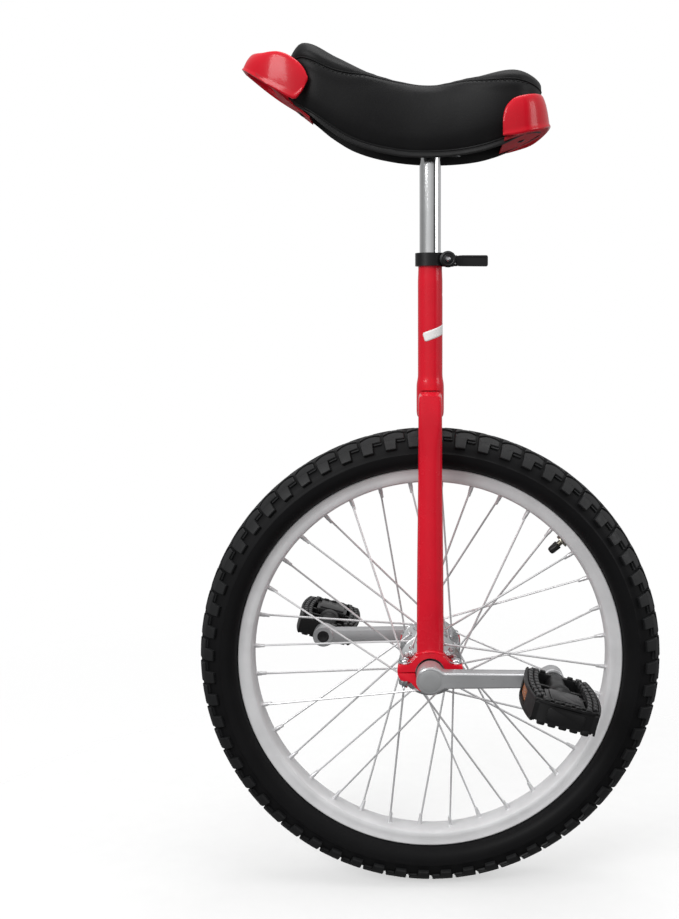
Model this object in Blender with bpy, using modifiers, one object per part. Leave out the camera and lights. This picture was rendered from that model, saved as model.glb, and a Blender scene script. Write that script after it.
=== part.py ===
"""A 46 cm (18 inch) unicycle, each real piece its own object.

Frame: +Z up, the ground at z = 0 under the axle, -X to the front, +X to the rear,
-Y to the rider's left.  All sizes are in metres.  At rest the left crank points
to the rear and the right crank to the front.
"""

from math import atan2, cos, hypot, pi, radians, sin, sqrt

import bmesh
import bpy
from mathutils import Matrix, Vector

GAP = 0.0003  # between two pieces that touch

# Wheel
WHEEL_RADIUS = 0.230
WHEEL_STEPS = 40
AXLE_Z = WHEEL_RADIUS
TREAD_HALF = 0.014  # half the width of the flat crown of the tread
TYRE_HALF = 0.0265
RIM_EDGE_RADIUS = 0.1905
RIM_HALF = 0.014
RIM_BED_RADIUS = 0.1765
RIM_WELL_RADIUS = 0.1788
TUBE_CENTRE_RADIUS = 0.2065
TUBE_RADIUS = 0.0150
SPOKE_RADIUS = 0.0011
SPOKES_PER_SIDE = 18
SPOKE_LACING = radians(60)  # from a hub hole round to its rim hole
SPOKE_PHASE = radians(-6.5)  # first left spoke, clockwise from the top
NIPPLE_RADIUS = 0.0019
NIPPLE_LENGTH = 0.008
NIPPLE_SEAT = 0.0036  # how far the nipple reaches into the rim
RIM_STAGGER = 0.003  # rim holes alternate this far to either side
VALVE_ANGLE = radians(48.5)
VALVE_RADIUS = 0.0030
VALVE_CAP_RADIUS = 0.0039

# Hub, axle and bearings
FLANGE_RADIUS = 0.031
FLANGE_INNER = 0.0280
FLANGE_OUTER = 0.0310
SPOKE_CIRCLE = 0.0250
ELBOW_Y = 0.0343
AXLE_RADIUS = 0.0079
BEARING_Y = 0.050
BEARING_WIDTH = 0.007
BEARING_BORE = 0.0075
BEARING_RADIUS = 0.014
TAPER_START = 0.0575
TAPER_END = 0.0760
TAPER_HALF = 0.0063  # half across the flats at the wide end
TAPER_DROP = 0.0004  # how much less it is at the narrow end

# Cranks and pedals
CRANK_LENGTH = 0.114
CRANK_INNER = 0.060
CRANK_OUTER = 0.0835
BOSS_RADIUS = 0.013
ARM_HEIGHT = 0.0140
ARM_DEPTH = 0.0145
EYE_RADIUS = 0.011
SPINDLE_THREAD_RADIUS = 0.0070
SPINDLE_RADIUS = 0.0055
PEDAL_INNER = 0.0885
PEDAL_LENGTH = 0.094
PEDAL_HALF = 0.0330
PEDAL_THICKNESS = 0.025
PEDAL_PITCH = radians(15)
REFLECTOR_SIZE = (0.0030, 0.034, 0.012)

# Fork and seat tube
TUBE_OUTER = 0.0121
TUBE_BORE = 0.0108
TUBE_TOP = 0.625
CROWN_BOTTOM = 0.466
CROWN_RADIUS = 0.0135
LEG_Y = BEARING_Y
LEG_TOP_RADIUS = 0.01125
LEG_FOOT_RADIUS = 0.0126
LEG_BEND_Z = 0.465
LEG_BEND_RADIUS = 0.020
LEG_WALL = 0.0016
HOLDER_RADIUS = 0.0188
HOLDER_WIDTH = 0.012
EAR_HALF = 0.0315
EAR_THICKNESS = 0.0075
CAP_EAR_THICKNESS = 0.0080
CAP_BOLT_X = 0.0245
M6_RADIUS = 0.0029

# Seat clamp
COLLAR_RADIUS = 0.0147
COLLAR_BOTTOM = 0.6180
COLLAR_TOP = 0.6305
SKEWER_X = 0.0172
SKEWER_Z = (COLLAR_BOTTOM + COLLAR_TOP) / 2
SKEWER_RADIUS = 0.0024
EAR_FACE = 0.0105  # outer faces of the clamp's ears
LEVER_PIVOT_Y = 0.0165
LEVER_HEIGHT = 0.0110
LEVER_LENGTH = 0.0400

# Seatpost and saddle
POST_RADIUS = 0.0104
POST_WALL = 0.0015
POST_BOTTOM = 0.520
PLATE_TOP = 0.7330
PLATE_SIZE = (0.064, 0.044, 0.003)
COVER_THICKNESS = 0.0018
BASE_THICKNESS = 0.0030
BASE_RISE = 0.0130  # from the cover's lower edge up to the top of the base
FOAM_RISE = 0.0160
NOSE_X = -0.137
TAIL_X = 0.107

# Saddle outlines: control points (x, z) or (x, half width) of smooth curves
SADDLE_TOP = ((-0.137, 0.8190), (-0.121, 0.8300), (-0.088, 0.8150), (-0.045, 0.7970),
              (0.000, 0.7880), (0.040, 0.7955), (0.078, 0.8025), (0.107, 0.789))
SADDLE_EDGE = ((-0.137, 0.7760), (-0.110, 0.7590), (-0.075, 0.7370), (-0.035, 0.7260),
               (0.005, 0.7235), (0.045, 0.7275), (0.080, 0.7380), (0.107, 0.7470))
SADDLE_HALF = ((-0.137, 0.0390), (-0.105, 0.0390), (-0.055, 0.0365), (-0.020, 0.0355),
               (0.020, 0.0410), (0.060, 0.0500), (0.085, 0.0505), (0.107, 0.0500))
# Half of the cushion's cross-section: (part of the half width, part of the height)
SADDLE_SECTION = ((0.84, 0.00), (0.97, 0.22), (1.00, 0.50), (0.965, 0.75),
                  (0.84, 0.89), (0.50, 0.970), (0.00, 1.00))

# Bands round the saddle's ends: middle x, reach along x and half width of the oval plan
HANDLE_PLAN = (-0.1200, 0.0585, 0.0425)
BUMPER_PLAN = (0.0720, 0.0435, 0.0545)
# How far their wings run on towards the middle of the saddle
HANDLE_WING = 0.0060
BUMPER_WING = 0.0050
# Their edges: (distance from the ends of the wings, z)
HANDLE_TOP = ((0.000, 0.7930), (0.008, 0.8050), (0.021, 0.8124), (0.041, 0.8158), (0.067, 0.8180))
HANDLE_LOW = ((0.000, 0.7850), (0.0105, 0.7715), (0.014, 0.7708), (0.031, 0.7800), (0.045, 0.7892),
              (0.067, 0.8030))
BUMPER_TOP = ((0.000, 0.7560), (0.003, 0.7615), (0.014, 0.7702), (0.030, 0.7738), (0.048, 0.7772))
BUMPER_LOW = ((0.000, 0.7345), (0.010, 0.7350), (0.020, 0.7373), (0.035, 0.7417), (0.048, 0.7480))
# The plates that join them to the base: (x, z) of both ends of the top face
NOSE_TONGUE = ((-0.181, 0.8060), (-0.112, 0.7580))
TAIL_TONGUE = ((0.074, 0.7330), (0.116, 0.7500))

RED = (0.62, 0.014, 0.028)
BLACK = (0.012, 0.012, 0.013)
STEEL = (0.55, 0.56, 0.58)


# ---------------------------------------------------------------- scene tools

def clear_scene():
    for obj in list(bpy.data.objects):
        bpy.data.objects.remove(obj, do_unlink=True)


def new_collection(name):
    collection = bpy.data.collections.new(name)
    bpy.context.scene.collection.children.link(collection)
    return collection


def pivot(name, location):
    """An empty on a joint's axis, the parent of all that turns or slides with it."""
    empty = bpy.data.objects.new(name, None)
    empty.location = location
    empty.empty_display_size = 0.02
    PARTS.objects.link(empty)
    return empty


def attach(obj, parent):
    obj.parent = parent
    obj.matrix_parent_inverse = Matrix.Translation(parent.location).inverted()


def paint(obj, colour, roughness=0.4, metallic=0.0):
    material = bpy.data.materials.new(obj.name)
    material.use_nodes = True
    shader = material.node_tree.nodes["Principled BSDF"]
    shader.inputs["Base Color"].default_value = (*colour, 1.0)
    shader.inputs["Roughness"].default_value = roughness
    shader.inputs["Metallic"].default_value = metallic
    obj.data.materials.clear()
    obj.data.materials.append(material)


def add_mesh(name, shape, matrix=None):
    """A new object in the parts collection from a bmesh, which is freed."""
    mesh = bpy.data.meshes.new(name)
    shape.normal_update()
    shape.to_mesh(mesh)
    shape.free()
    mesh.shade_smooth()
    mesh.set_sharp_from_angle(angle=radians(35))
    obj = bpy.data.objects.new(name, mesh)
    if matrix is not None:
        obj.matrix_world = matrix
    PARTS.objects.link(obj)
    return obj


def as_cutter(obj):
    PARTS.objects.unlink(obj)
    CUTTERS.objects.link(obj)
    obj.hide_render = True
    obj.display_type = "WIRE"
    return obj


def boolean(obj, other, operation):
    modifier = obj.modifiers.new(operation.title(), "BOOLEAN")
    modifier.operation = operation
    modifier.solver = "EXACT"
    modifier.object = as_cutter(other)


def cut(obj, *others):
    for other in others:
        boolean(obj, other, "DIFFERENCE")
    return obj


def fuse(obj, *others):
    for other in others:
        boolean(obj, other, "UNION")
    return obj


def copy_turned(obj, name):
    """The same piece on the other side: a copy turned half a turn about the Z axis."""
    bpy.context.view_layer.update()
    depsgraph = bpy.context.evaluated_depsgraph_get()
    mesh = bpy.data.meshes.new_from_object(obj.evaluated_get(depsgraph))
    copy = bpy.data.objects.new(name, mesh)
    copy.matrix_world = Matrix.Rotation(pi, 4, "Z") @ obj.matrix_world
    PARTS.objects.link(copy)
    return copy


# ---------------------------------------------------------------- shape tools

def rod(name, start, end, radius, end_radius=None, sides=20, roll=0.0):
    """A round bar or cone from start to end, its first corner turned by roll."""
    start = Vector(start)
    along = Vector(end) - start
    shape = bmesh.new()
    bmesh.ops.create_cone(
        shape, cap_ends=True, segments=sides, radius1=radius,
        radius2=radius if end_radius is None else end_radius, depth=along.length)
    matrix = Matrix.Translation(start + along / 2) @ along.to_track_quat("Z", "Y").to_matrix().to_4x4()
    return add_mesh(name, shape, matrix @ Matrix.Rotation(roll, 4, "Z"))


def block(name, centre, size, matrix=None):
    shape = bmesh.new()
    bmesh.ops.create_cube(shape, size=1.0)
    bmesh.ops.scale(shape, vec=size, verts=shape.verts)
    place = Matrix.Translation(centre)
    return add_mesh(name, shape, place if matrix is None else matrix @ place)


def soften(obj, width, segments=1, angle=30):
    bevel = obj.modifiers.new("Edges", "BEVEL")
    bevel.width = width
    bevel.segments = segments
    bevel.angle_limit = radians(angle)
    return obj


def turned(name, profile, centre=(0, 0, 0), axis="Y", steps=24, phase=0.0):
    """A ring turned from a closed outline of (radius, height along the axis) points."""
    area = sum(a[0] * b[1] - b[0] * a[1] for a, b in zip(profile, profile[1:] + profile[:1]))
    points = profile if area < 0 else profile[::-1]
    shape = bmesh.new()
    corners = [shape.verts.new((radius, 0.0, height)) for radius, height in points]
    for first, second in zip(corners, corners[1:] + corners[:1]):
        shape.edges.new((first, second))
    matrix = Matrix.Translation(centre)
    if axis == "Y":
        matrix = matrix @ Matrix.Rotation(-pi / 2, 4, "X")
    obj = add_mesh(name, shape, matrix @ Matrix.Rotation(phase, 4, "Z"))
    screw = obj.modifiers.new("Turn", "SCREW")
    screw.axis = "Z"
    screw.steps = steps
    screw.render_steps = steps
    screw.use_merge_vertices = True
    screw.merge_threshold = 0.00001
    return obj


def ring(name, inner, outer, low, high, **place):
    return turned(name, [(outer, high), (outer, low), (inner, low), (inner, high)], **place)


def both_halves(half):
    """A closed outline from its half at positive height, mirrored to negative height."""
    return list(half) + [(radius, -height) for radius, height in reversed(half)]


def smooth(points, x):
    """The value at x of a smooth curve through the points (a cubic through each span)."""
    if x <= points[0][0]:
        return points[0][1]
    for i in range(len(points) - 1):
        (x0, y0), (x1, y1) = points[i], points[i + 1]
        if x <= x1:
            before = points[max(i - 1, 0)]
            after = points[min(i + 2, len(points) - 1)]
            slope0 = (y1 - before[1]) / (x1 - before[0])
            slope1 = (after[1] - y0) / (after[0] - x0)
            t = (x - x0) / (x1 - x0)
            span = x1 - x0
            return (y0 * (1 + 2 * t) * (1 - t) ** 2 + slope0 * span * t * (1 - t) ** 2
                    + y1 * t * t * (3 - 2 * t) + slope1 * span * t * t * (t - 1))
    return points[-1][1]


def loft(name, rings, closed_rings, ends):
    """Faces between equal rows of points; ends fills the first and the last row."""
    shape = bmesh.new()
    rows = [[shape.verts.new(point) for point in row] for row in rings]
    count = len(rows[0])
    last = count if closed_rings else count - 1
    for low, high in zip(rows, rows[1:]):
        for i in range(last):
            j = (i + 1) % count
            shape.faces.new((low[i], low[j], high[j], high[i]))
    if ends:
        shape.faces.new(rows[0])
        shape.faces.new(rows[-1])
    bmesh.ops.recalc_face_normals(shape, faces=shape.faces)
    return add_mesh(name, shape)


def thicken(obj, thickness):
    """Turns an open sheet into a shell, inwards from its outer face."""
    solidify = obj.modifiers.new("Wall", "SOLIDIFY")
    solidify.thickness = thickness
    solidify.offset = -1.0
    solidify.use_even_offset = True
    return obj


def around(angle):
    """The direction at an angle clockwise from the top, seen from the left side."""
    return Vector((sin(angle), 0.0, cos(angle)))


# ---------------------------------------------------------------- wheel

def make_tyre(parent):
    half = [(0.1830, 0.0076), (0.1940, 0.0130), (0.2060, 0.0220), (0.2190, 0.0205), (0.2255, 0.0090)]
    inner = half + [(radius, -height) for radius, height in reversed(half)]
    outer_half = [(0.1830, 0.0115), (RIM_EDGE_RADIUS + 0.0004, 0.0115), (0.1913, 0.0148),
                  (0.1990, 0.0235), (0.2110, TYRE_HALF), (0.2225, 0.0245), (WHEEL_RADIUS, TREAD_HALF)]
    outer = outer_half + [(radius, -height) for radius, height in reversed(outer_half)]
    facet = pi / WHEEL_STEPS
    profile = [(radius / cos(facet), height) for radius, height in outer + inner[::-1]]
    tyre = turned("tyre", profile, (0, 0, AXLE_Z), steps=WHEEL_STEPS, phase=facet)
    paint(tyre, (0.018, 0.018, 0.019), 0.75)
    attach(tyre, parent)


def valve_hole(name):
    direction = around(VALVE_ANGLE)
    centre = Vector((0, 0, AXLE_Z))
    start = centre + direction * (RIM_BED_RADIUS - 0.010)
    end = centre + direction * (TUBE_CENTRE_RADIUS - 0.005)
    return rod(name, start, end, VALVE_RADIUS + 0.0004, sides=12)


def make_inner_tube(parent):
    sides = 8
    corners = [(2 * pi * (i + 0.5) / sides) for i in range(sides)]
    skin = [(TUBE_CENTRE_RADIUS + TUBE_RADIUS * cos(a), TUBE_RADIUS * sin(a)) for a in corners]
    tube = turned("inner_tube", skin, (0, 0, AXLE_Z), steps=30)
    thicken(tube, 0.0012)
    cut(tube, valve_hole("cut_tube_valve"))
    paint(tube, BLACK, 0.6)
    attach(tube, parent)


def make_rim_tape(parent):
    tape = ring("rim_tape", 0.1809, 0.1815, -0.0085, 0.0085, centre=(0, 0, AXLE_Z), steps=WHEEL_STEPS)
    cut(tape, valve_hole("cut_tape_valve"))
    paint(tape, (0.05, 0.05, 0.05), 0.7)
    attach(tape, parent)


def spoke_ends(side, index):
    """Hub hole angle and rim hole angle of one spoke; the left side is -1."""
    phase = SPOKE_PHASE + (radians(10) if side > 0 else 0.0)
    hub = phase + index * 2 * pi / SPOKES_PER_SIDE
    rim = hub + (SPOKE_LACING if index % 2 == 0 else -SPOKE_LACING)
    return hub, rim


def rim_holes():
    """All spoke holes and the valve hole as one cutter of separate bars."""
    shape = bmesh.new()
    places = [(spoke_ends(side, i)[1], side * RIM_STAGGER, NIPPLE_RADIUS + 0.0009, 4)
              for side in (-1, 1) for i in range(SPOKES_PER_SIDE)]
    places.append((VALVE_ANGLE, 0.0, VALVE_RADIUS + 0.0004, 12))
    for angle, y, radius, sides in places:
        direction = around(angle)
        centre = Vector((0, y, AXLE_Z)) + direction * RIM_BED_RADIUS
        turn = direction.to_track_quat("Z", "Y").to_matrix().to_4x4()
        bmesh.ops.create_cone(shape, cap_ends=True, segments=sides, radius1=radius, radius2=radius,
                              depth=0.012, matrix=Matrix.Translation(centre) @ turn)
    return add_mesh("cut_rim_holes", shape)


def make_rim(parent):
    half = [(RIM_EDGE_RADIUS, RIM_HALF), (0.1792, 0.0136), (0.1774, 0.0115), (RIM_BED_RADIUS, 0.0080)]
    outside = both_halves(half)
    inside = both_halves([(RIM_EDGE_RADIUS, 0.0120), (0.1826, 0.0119), (0.1816, 0.0096),
                          (RIM_WELL_RADIUS, 0.0082)])
    rim = turned("rim", outside + inside[::-1], (0, 0, AXLE_Z), steps=WHEEL_STEPS)
    cut(rim, rim_holes())
    paint(rim, (0.62, 0.62, 0.63), 0.35, 0.9)
    attach(rim, parent)


def spoke_bars(side, index):
    """Start, end and radius of one spoke's shaft, of its elbow and of its nipple."""
    hub_angle, rim_angle = spoke_ends(side, index)
    axle = Vector((0, 0, AXLE_Z))
    elbow = axle + around(hub_angle) * SPOKE_CIRCLE + Vector((0, side * ELBOW_Y, 0))
    bed = axle + around(rim_angle) * RIM_BED_RADIUS + Vector((0, side * RIM_STAGGER, 0))
    outwards = around(rim_angle)
    across = Vector((0, side, 0))
    return [
        (elbow, bed, SPOKE_RADIUS),
        (elbow + across * SPOKE_RADIUS, elbow - across * (ELBOW_Y - FLANGE_INNER + 0.0010), SPOKE_RADIUS),
        (bed - outwards * NIPPLE_LENGTH, bed + outwards * NIPPLE_SEAT, NIPPLE_RADIUS),
    ]


def make_spokes(name, side, parent):
    """One side's spokes, which touch where they cross, fused into one piece."""
    bars = [bar for i in range(SPOKES_PER_SIDE) for bar in spoke_bars(side, i)]
    shape = bmesh.new()
    for number, (start, end, radius) in enumerate(bars[1:]):
        along = end - start
        turn = along.to_track_quat("Z", "Y").to_matrix().to_4x4() @ Matrix.Rotation(0.37 * number, 4, "Z")
        bmesh.ops.create_cone(shape, cap_ends=True, segments=5, radius1=radius, radius2=radius,
                              depth=along.length, matrix=Matrix.Translation((start + end) / 2) @ turn)
    spokes = add_mesh(name, shape)
    fuse(spokes, rod("first_spoke", *bars[0], sides=5))
    spokes.modifiers[-1].use_self = True
    paint(spokes, (0.58, 0.58, 0.60), 0.3, 1.0)
    attach(spokes, parent)


def flange_holes():
    shape = bmesh.new()
    for side in (-1, 1):
        for i in range(SPOKES_PER_SIDE):
            place = around(spoke_ends(side, i)[0]) * SPOKE_CIRCLE
            centre = place + Vector((0, side * (FLANGE_INNER + FLANGE_OUTER) / 2, AXLE_Z))
            turn = Matrix.Rotation(pi / 2, 4, "X")
            bmesh.ops.create_cone(shape, cap_ends=True, segments=4, radius1=0.0022, radius2=0.0022,
                                  depth=0.008, matrix=Matrix.Translation(centre) @ turn)
    return add_mesh("cut_flange_holes", shape)


def make_hub(parent):
    end = BEARING_Y - BEARING_WIDTH / 2 - GAP
    half = [(0.0105, end), (0.0105, 0.0350), (0.0140, FLANGE_OUTER), (FLANGE_RADIUS, FLANGE_OUTER - 0.0004),
            (FLANGE_RADIUS, FLANGE_INNER + 0.0004), (0.0150, FLANGE_INNER), (0.0125, 0.0230)]
    profile = both_halves(half) + [(AXLE_RADIUS + GAP, -end), (AXLE_RADIUS + GAP, end)]
    hub = turned("hub", profile, (0, 0, AXLE_Z))
    cut(hub, flange_holes())
    paint(hub, STEEL, 0.2, 1.0)
    attach(hub, parent)


def taper(name, side, grow):
    """A square bar that narrows outwards like the axle end, larger all round by grow."""
    diagonal = sqrt(2)
    wide = (TAPER_HALF + grow) * diagonal
    narrow = (TAPER_HALF - TAPER_DROP + grow) * diagonal
    low, high = TAPER_START, TAPER_END + 0.001
    return rod(name, (0, side * low, AXLE_Z), (0, side * high, AXLE_Z), wide, narrow, sides=4, roll=pi / 4)


def make_axle(parent):
    seat = BEARING_Y - BEARING_WIDTH / 2 - GAP
    axle = rod("axle", (0, -seat, AXLE_Z), (0, seat, AXLE_Z), AXLE_RADIUS)
    for side in (-1, 1):
        fuse(axle, rod("axle_end", (0, side * (seat - 0.002), AXLE_Z), (0, side * TAPER_END, AXLE_Z), 0.0072))
        middle = Vector((0, side * (TAPER_START + TAPER_END) / 2, TAPER_HALF - TAPER_DROP / 2))
        slope = -side * atan2(TAPER_DROP, TAPER_END - TAPER_START)
        for quarter in range(4):
            turn = Matrix.Translation((0, 0, AXLE_Z)) @ Matrix.Rotation(quarter * pi / 2, 4, "Y")
            tilt = Matrix.Translation(middle) @ Matrix.Rotation(slope, 4, "X")
            cut(axle, block("cut_axle_flat", (0, 0, 0.003), (0.020, TAPER_END - TAPER_START + 0.001, 0.006),
                            turn @ tilt))
        cut(axle, rod("cut_axle_thread", (0, side * 0.055, AXLE_Z), (0, side * 0.080, AXLE_Z), 0.0041,
                      sides=12))
    paint(axle, STEEL, 0.25, 1.0)
    attach(axle, parent)


def make_inner_race(name, side, parent):
    low = side * BEARING_Y - BEARING_WIDTH / 2
    race = ring(name, BEARING_BORE, 0.0098, low, low + BEARING_WIDTH, centre=(0, 0, AXLE_Z))
    paint(race, STEEL, 0.15, 1.0)
    attach(race, parent)


def make_valve(parent):
    centre = Vector((0, 0, AXLE_Z))
    direction = around(VALVE_ANGLE)
    stem_tip = RIM_BED_RADIUS - 0.0080
    stem = rod("valve_stem", centre + direction * stem_tip,
               centre + direction * (TUBE_CENTRE_RADIUS - 0.010), VALVE_RADIUS, sides=12)
    paint(stem, (0.5, 0.45, 0.3), 0.3, 1.0)
    attach(stem, parent)
    mouth = stem_tip + 0.0020
    cap = rod("valve_cap", centre + direction * mouth, centre + direction * (mouth - 0.010),
              VALVE_CAP_RADIUS, VALVE_CAP_RADIUS * 0.85, sides=16)
    bore = rod("cut_cap_bore", centre + direction * (mouth + 0.001),
               centre + direction * (stem_tip - GAP), VALVE_RADIUS + GAP, sides=12)
    cut(cap, bore)
    paint(cap, BLACK, 0.4)
    attach(cap, parent)


# ---------------------------------------------------------------- cranks

def make_right_crank():
    """The crank on +Y, pointing to the front."""
    boss = rod("right_crank", (0, CRANK_INNER, AXLE_Z), (0, CRANK_OUTER, AXLE_Z), BOSS_RADIUS, sides=24)
    arm_y = CRANK_OUTER - ARM_DEPTH / 2
    arm = block("crank_arm", (-CRANK_LENGTH / 2, arm_y, AXLE_Z), (CRANK_LENGTH, ARM_DEPTH, ARM_HEIGHT))
    eye = rod("crank_eye", (-CRANK_LENGTH, CRANK_OUTER - ARM_DEPTH - 0.0015, AXLE_Z),
              (-CRANK_LENGTH, CRANK_OUTER - 0.0002, AXLE_Z), EYE_RADIUS)
    fuse(boss, soften(arm, 0.002), eye)
    thread = rod("cut_eye", (-CRANK_LENGTH, 0.060, AXLE_Z), (-CRANK_LENGTH, 0.090, AXLE_Z),
                 SPINDLE_THREAD_RADIUS + GAP)
    recess = rod("cut_recess", (0, TAPER_END + 0.0006, AXLE_Z), (0, 0.090, AXLE_Z), 0.0110)
    cut(boss, taper("cut_taper", 1, GAP), thread, recess)
    paint(boss, (0.42, 0.43, 0.44), 0.3, 0.9)
    return boss


def make_right_crank_bolt():
    """The bolt that pulls the crank onto the taper: shank, flange and hexagon head."""
    bolt = rod("right_crank_bolt", (0, 0.060, AXLE_Z), (0, 0.0780, AXLE_Z), 0.0038, sides=16)
    flange = rod("bolt_flange", (0, 0.0769, AXLE_Z), (0, 0.0785, AXLE_Z), 0.0100)
    head = rod("bolt_head", (0, 0.0780, AXLE_Z), (0, 0.0810, AXLE_Z), 0.0072, sides=6)
    fuse(bolt, flange, head)
    paint(bolt, STEEL, 0.3, 1.0)
    return bolt


def make_right_dust_cap():
    cap = rod("right_dust_cap", (0, 0.0813, AXLE_Z), (0, CRANK_OUTER, AXLE_Z), 0.0106)
    paint(cap, (0.30, 0.31, 0.32), 0.45)
    return cap


def make_right_spindle():
    """The pedal's axle: thread in the crank, spanner flange, plain shaft in the pedal."""
    x = -CRANK_LENGTH
    spindle = rod("right_pedal_spindle", (x, 0.0705, AXLE_Z), (x, 0.0860, AXLE_Z), SPINDLE_THREAD_RADIUS)
    flange = rod("spindle_flange", (x, CRANK_OUTER + GAP, AXLE_Z), (x, 0.0872, AXLE_Z), 0.0085, sides=12)
    shaft = rod("spindle_shaft", (x, 0.0855, AXLE_Z), (x, 0.1640, AXLE_Z), SPINDLE_RADIUS, sides=20)
    fuse(spindle, flange, shaft)
    paint(spindle, (0.05, 0.05, 0.055), 0.35, 0.8)
    return spindle


def make_cranks(parent):
    for make in (make_right_crank, make_right_crank_bolt, make_right_dust_cap, make_right_spindle):
        right = make()
        left = copy_turned(right, right.name.replace("right", "left"))
        attach(right, parent)
        attach(left, parent)


def pedal_outline():
    """Plan of the pedal: long sides bowed slightly outwards, corners cut off."""
    half_length = PEDAL_LENGTH / 2
    corner = 0.007
    side = [(PEDAL_HALF - 0.0030 * (y / half_length) ** 2, y)
            for y in (-half_length + corner, -half_length / 2, 0, half_length / 2, half_length - corner)]
    end = [(PEDAL_HALF - 0.003 - corner, half_length)]
    right = [(PEDAL_HALF - 0.003 - corner, -half_length)] + side + end
    return right + [(-x, -y) for x, y in right]


def make_pedal(name, side, parent):
    """One pedal: a moulded cage around a barrel that turns on the spindle."""
    centre = Vector((-side * CRANK_LENGTH, side * (PEDAL_INNER + PEDAL_LENGTH / 2), AXLE_Z))
    place = Matrix.Translation(centre) @ Matrix.Rotation(PEDAL_PITCH, 4, "Y")
    curve = bpy.data.curves.new(name + "_plan", "CURVE")
    curve.dimensions = "2D"
    curve.fill_mode = "BOTH"
    curve.extrude = PEDAL_THICKNESS / 2
    spline = curve.splines.new("POLY")
    outline = pedal_outline()
    spline.points.add(len(outline) - 1)
    for point, (x, y) in zip(spline.points, outline):
        point.co = (x, y, 0.0, 1.0)
    spline.use_cyclic_u = True
    plan = bpy.data.objects.new(name + "_plan", curve)
    PARTS.objects.link(plan)
    plan.matrix_world = place
    body = meshed(plan, name)
    inner_end = -side * PEDAL_LENGTH / 2
    cut(body, block("cut_opening", (0, 0, 0), (0.044, PEDAL_LENGTH - 0.020, 0.04), place))
    barrel = rod("barrel", (0, -PEDAL_LENGTH / 2 + 0.002, 0), (0, PEDAL_LENGTH / 2 - 0.002, 0), 0.0098)
    barrel.matrix_world = place @ barrel.matrix_world
    platform = block("platform", (0, side * 0.019, 0), (0.046, 0.026, 0.017), place)
    fuse(body, barrel, platform)
    bore = rod("cut_bore", (0, inner_end * 1.1, 0), (0, -inner_end - side * 0.009, 0),
               SPINDLE_RADIUS + 0.0004, sides=20)
    bore.matrix_world = place @ bore.matrix_world
    mouth = rod("cut_mouth", (0, inner_end * 1.1, 0), (0, inner_end + side * 0.0002, 0), 0.0090)
    mouth.matrix_world = place @ mouth.matrix_world
    cut(body, bore, mouth)
    for end, word in ((-1, "front"), (1, "rear")):
        depth, length, height = REFLECTOR_SIZE
        x = end * (PEDAL_HALF - depth / 2 - 0.0010)
        pocket = block("cut_pocket", (x + end * 0.002, 0, 0),
                       (depth + 0.004 + 2 * GAP, length + 2 * GAP, height + 2 * GAP), place)
        cut(body, pocket)
        reflector = block(f"{name.split('_')[0]}_{word}_reflector", (x, 0, 0), REFLECTOR_SIZE, place)
        paint(reflector, (0.80, 0.28, 0.02), 0.2)
        attach(reflector, parent)
    paint(body, BLACK, 0.5)
    attach(body, parent)


def meshed(curve_object, name):
    """The curve as a mesh object with its caps welded on; the curve is removed."""
    bpy.context.view_layer.update()
    depsgraph = bpy.context.evaluated_depsgraph_get()
    mesh = bpy.data.meshes.new_from_object(curve_object.evaluated_get(depsgraph))
    shape = bmesh.new()
    shape.from_mesh(mesh)
    bmesh.ops.remove_doubles(shape, verts=shape.verts, dist=0.00001)
    matrix = curve_object.matrix_world.copy()
    bpy.data.objects.remove(curve_object, do_unlink=True)
    return add_mesh(name, shape, matrix)


# ---------------------------------------------------------------- fork

def make_seat_tube(parent):
    """The seat tube, its foot swaged out to take the fork legs, its top slotted."""
    outer = [(TUBE_OUTER - 0.0004, TUBE_TOP), (TUBE_OUTER - 0.0004, 0.612), (TUBE_OUTER, 0.604),
             (TUBE_OUTER, 0.511), (CROWN_RADIUS, 0.502), (CROWN_RADIUS, 0.4725),
             (CROWN_RADIUS - 0.0012, CROWN_BOTTOM)]
    bore = [(TUBE_BORE, CROWN_BOTTOM), (TUBE_BORE, TUBE_TOP)]
    tube = turned("seat_tube", outer + bore, axis="Z")
    slot = block("cut_slot", (0.010, 0, TUBE_TOP - 0.017), (0.020, 0.003, 0.040))
    cut(tube, slot)
    paint(tube, RED, 0.22)
    attach(tube, parent)


def leg_path():
    """Up from the bearing holder and over to the crown, as (y, z) points."""
    centre_y = LEG_Y - LEG_BEND_RADIUS
    steps = 5
    bend = [(centre_y + LEG_BEND_RADIUS * cos(i * pi / 2 / steps),
             LEG_BEND_Z + LEG_BEND_RADIUS * sin(i * pi / 2 / steps)) for i in range(steps + 1)]
    foot = AXLE_Z + 0.008
    return [(LEG_Y, foot), (LEG_Y, 0.300)] + bend + [(0.004, LEG_BEND_Z + LEG_BEND_RADIUS)]


def make_right_leg():
    curve = bpy.data.curves.new("right_leg_path", "CURVE")
    curve.dimensions = "3D"
    curve.bevel_depth = LEG_TOP_RADIUS
    curve.bevel_resolution = 7
    path = leg_path()
    spline = curve.splines.new("POLY")
    spline.points.add(len(path) - 1)
    for point, (y, z) in zip(spline.points, path):
        point.co = (0.0, y, z, 1.0)
        low = max(0.0, (LEG_BEND_Z - z) / (LEG_BEND_Z - AXLE_Z))
        point.radius = 1 + low * (LEG_FOOT_RADIUS / LEG_TOP_RADIUS - 1)
    leg_curve = bpy.data.objects.new("right_leg_path", curve)
    PARTS.objects.link(leg_curve)
    leg = meshed(leg_curve, "right_fork_leg")
    thicken(leg, LEG_WALL)
    crown = rod("cut_crown", (0, 0, 0.44), (0, 0, 0.53), CROWN_RADIUS + GAP, sides=24)
    holder = rod("cut_holder", (0, 0.03, AXLE_Z), (0, 0.08, AXLE_Z), HOLDER_RADIUS + GAP, sides=24)
    cut(leg, crown, holder)
    paint(leg, RED, 0.22)
    return leg


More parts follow.
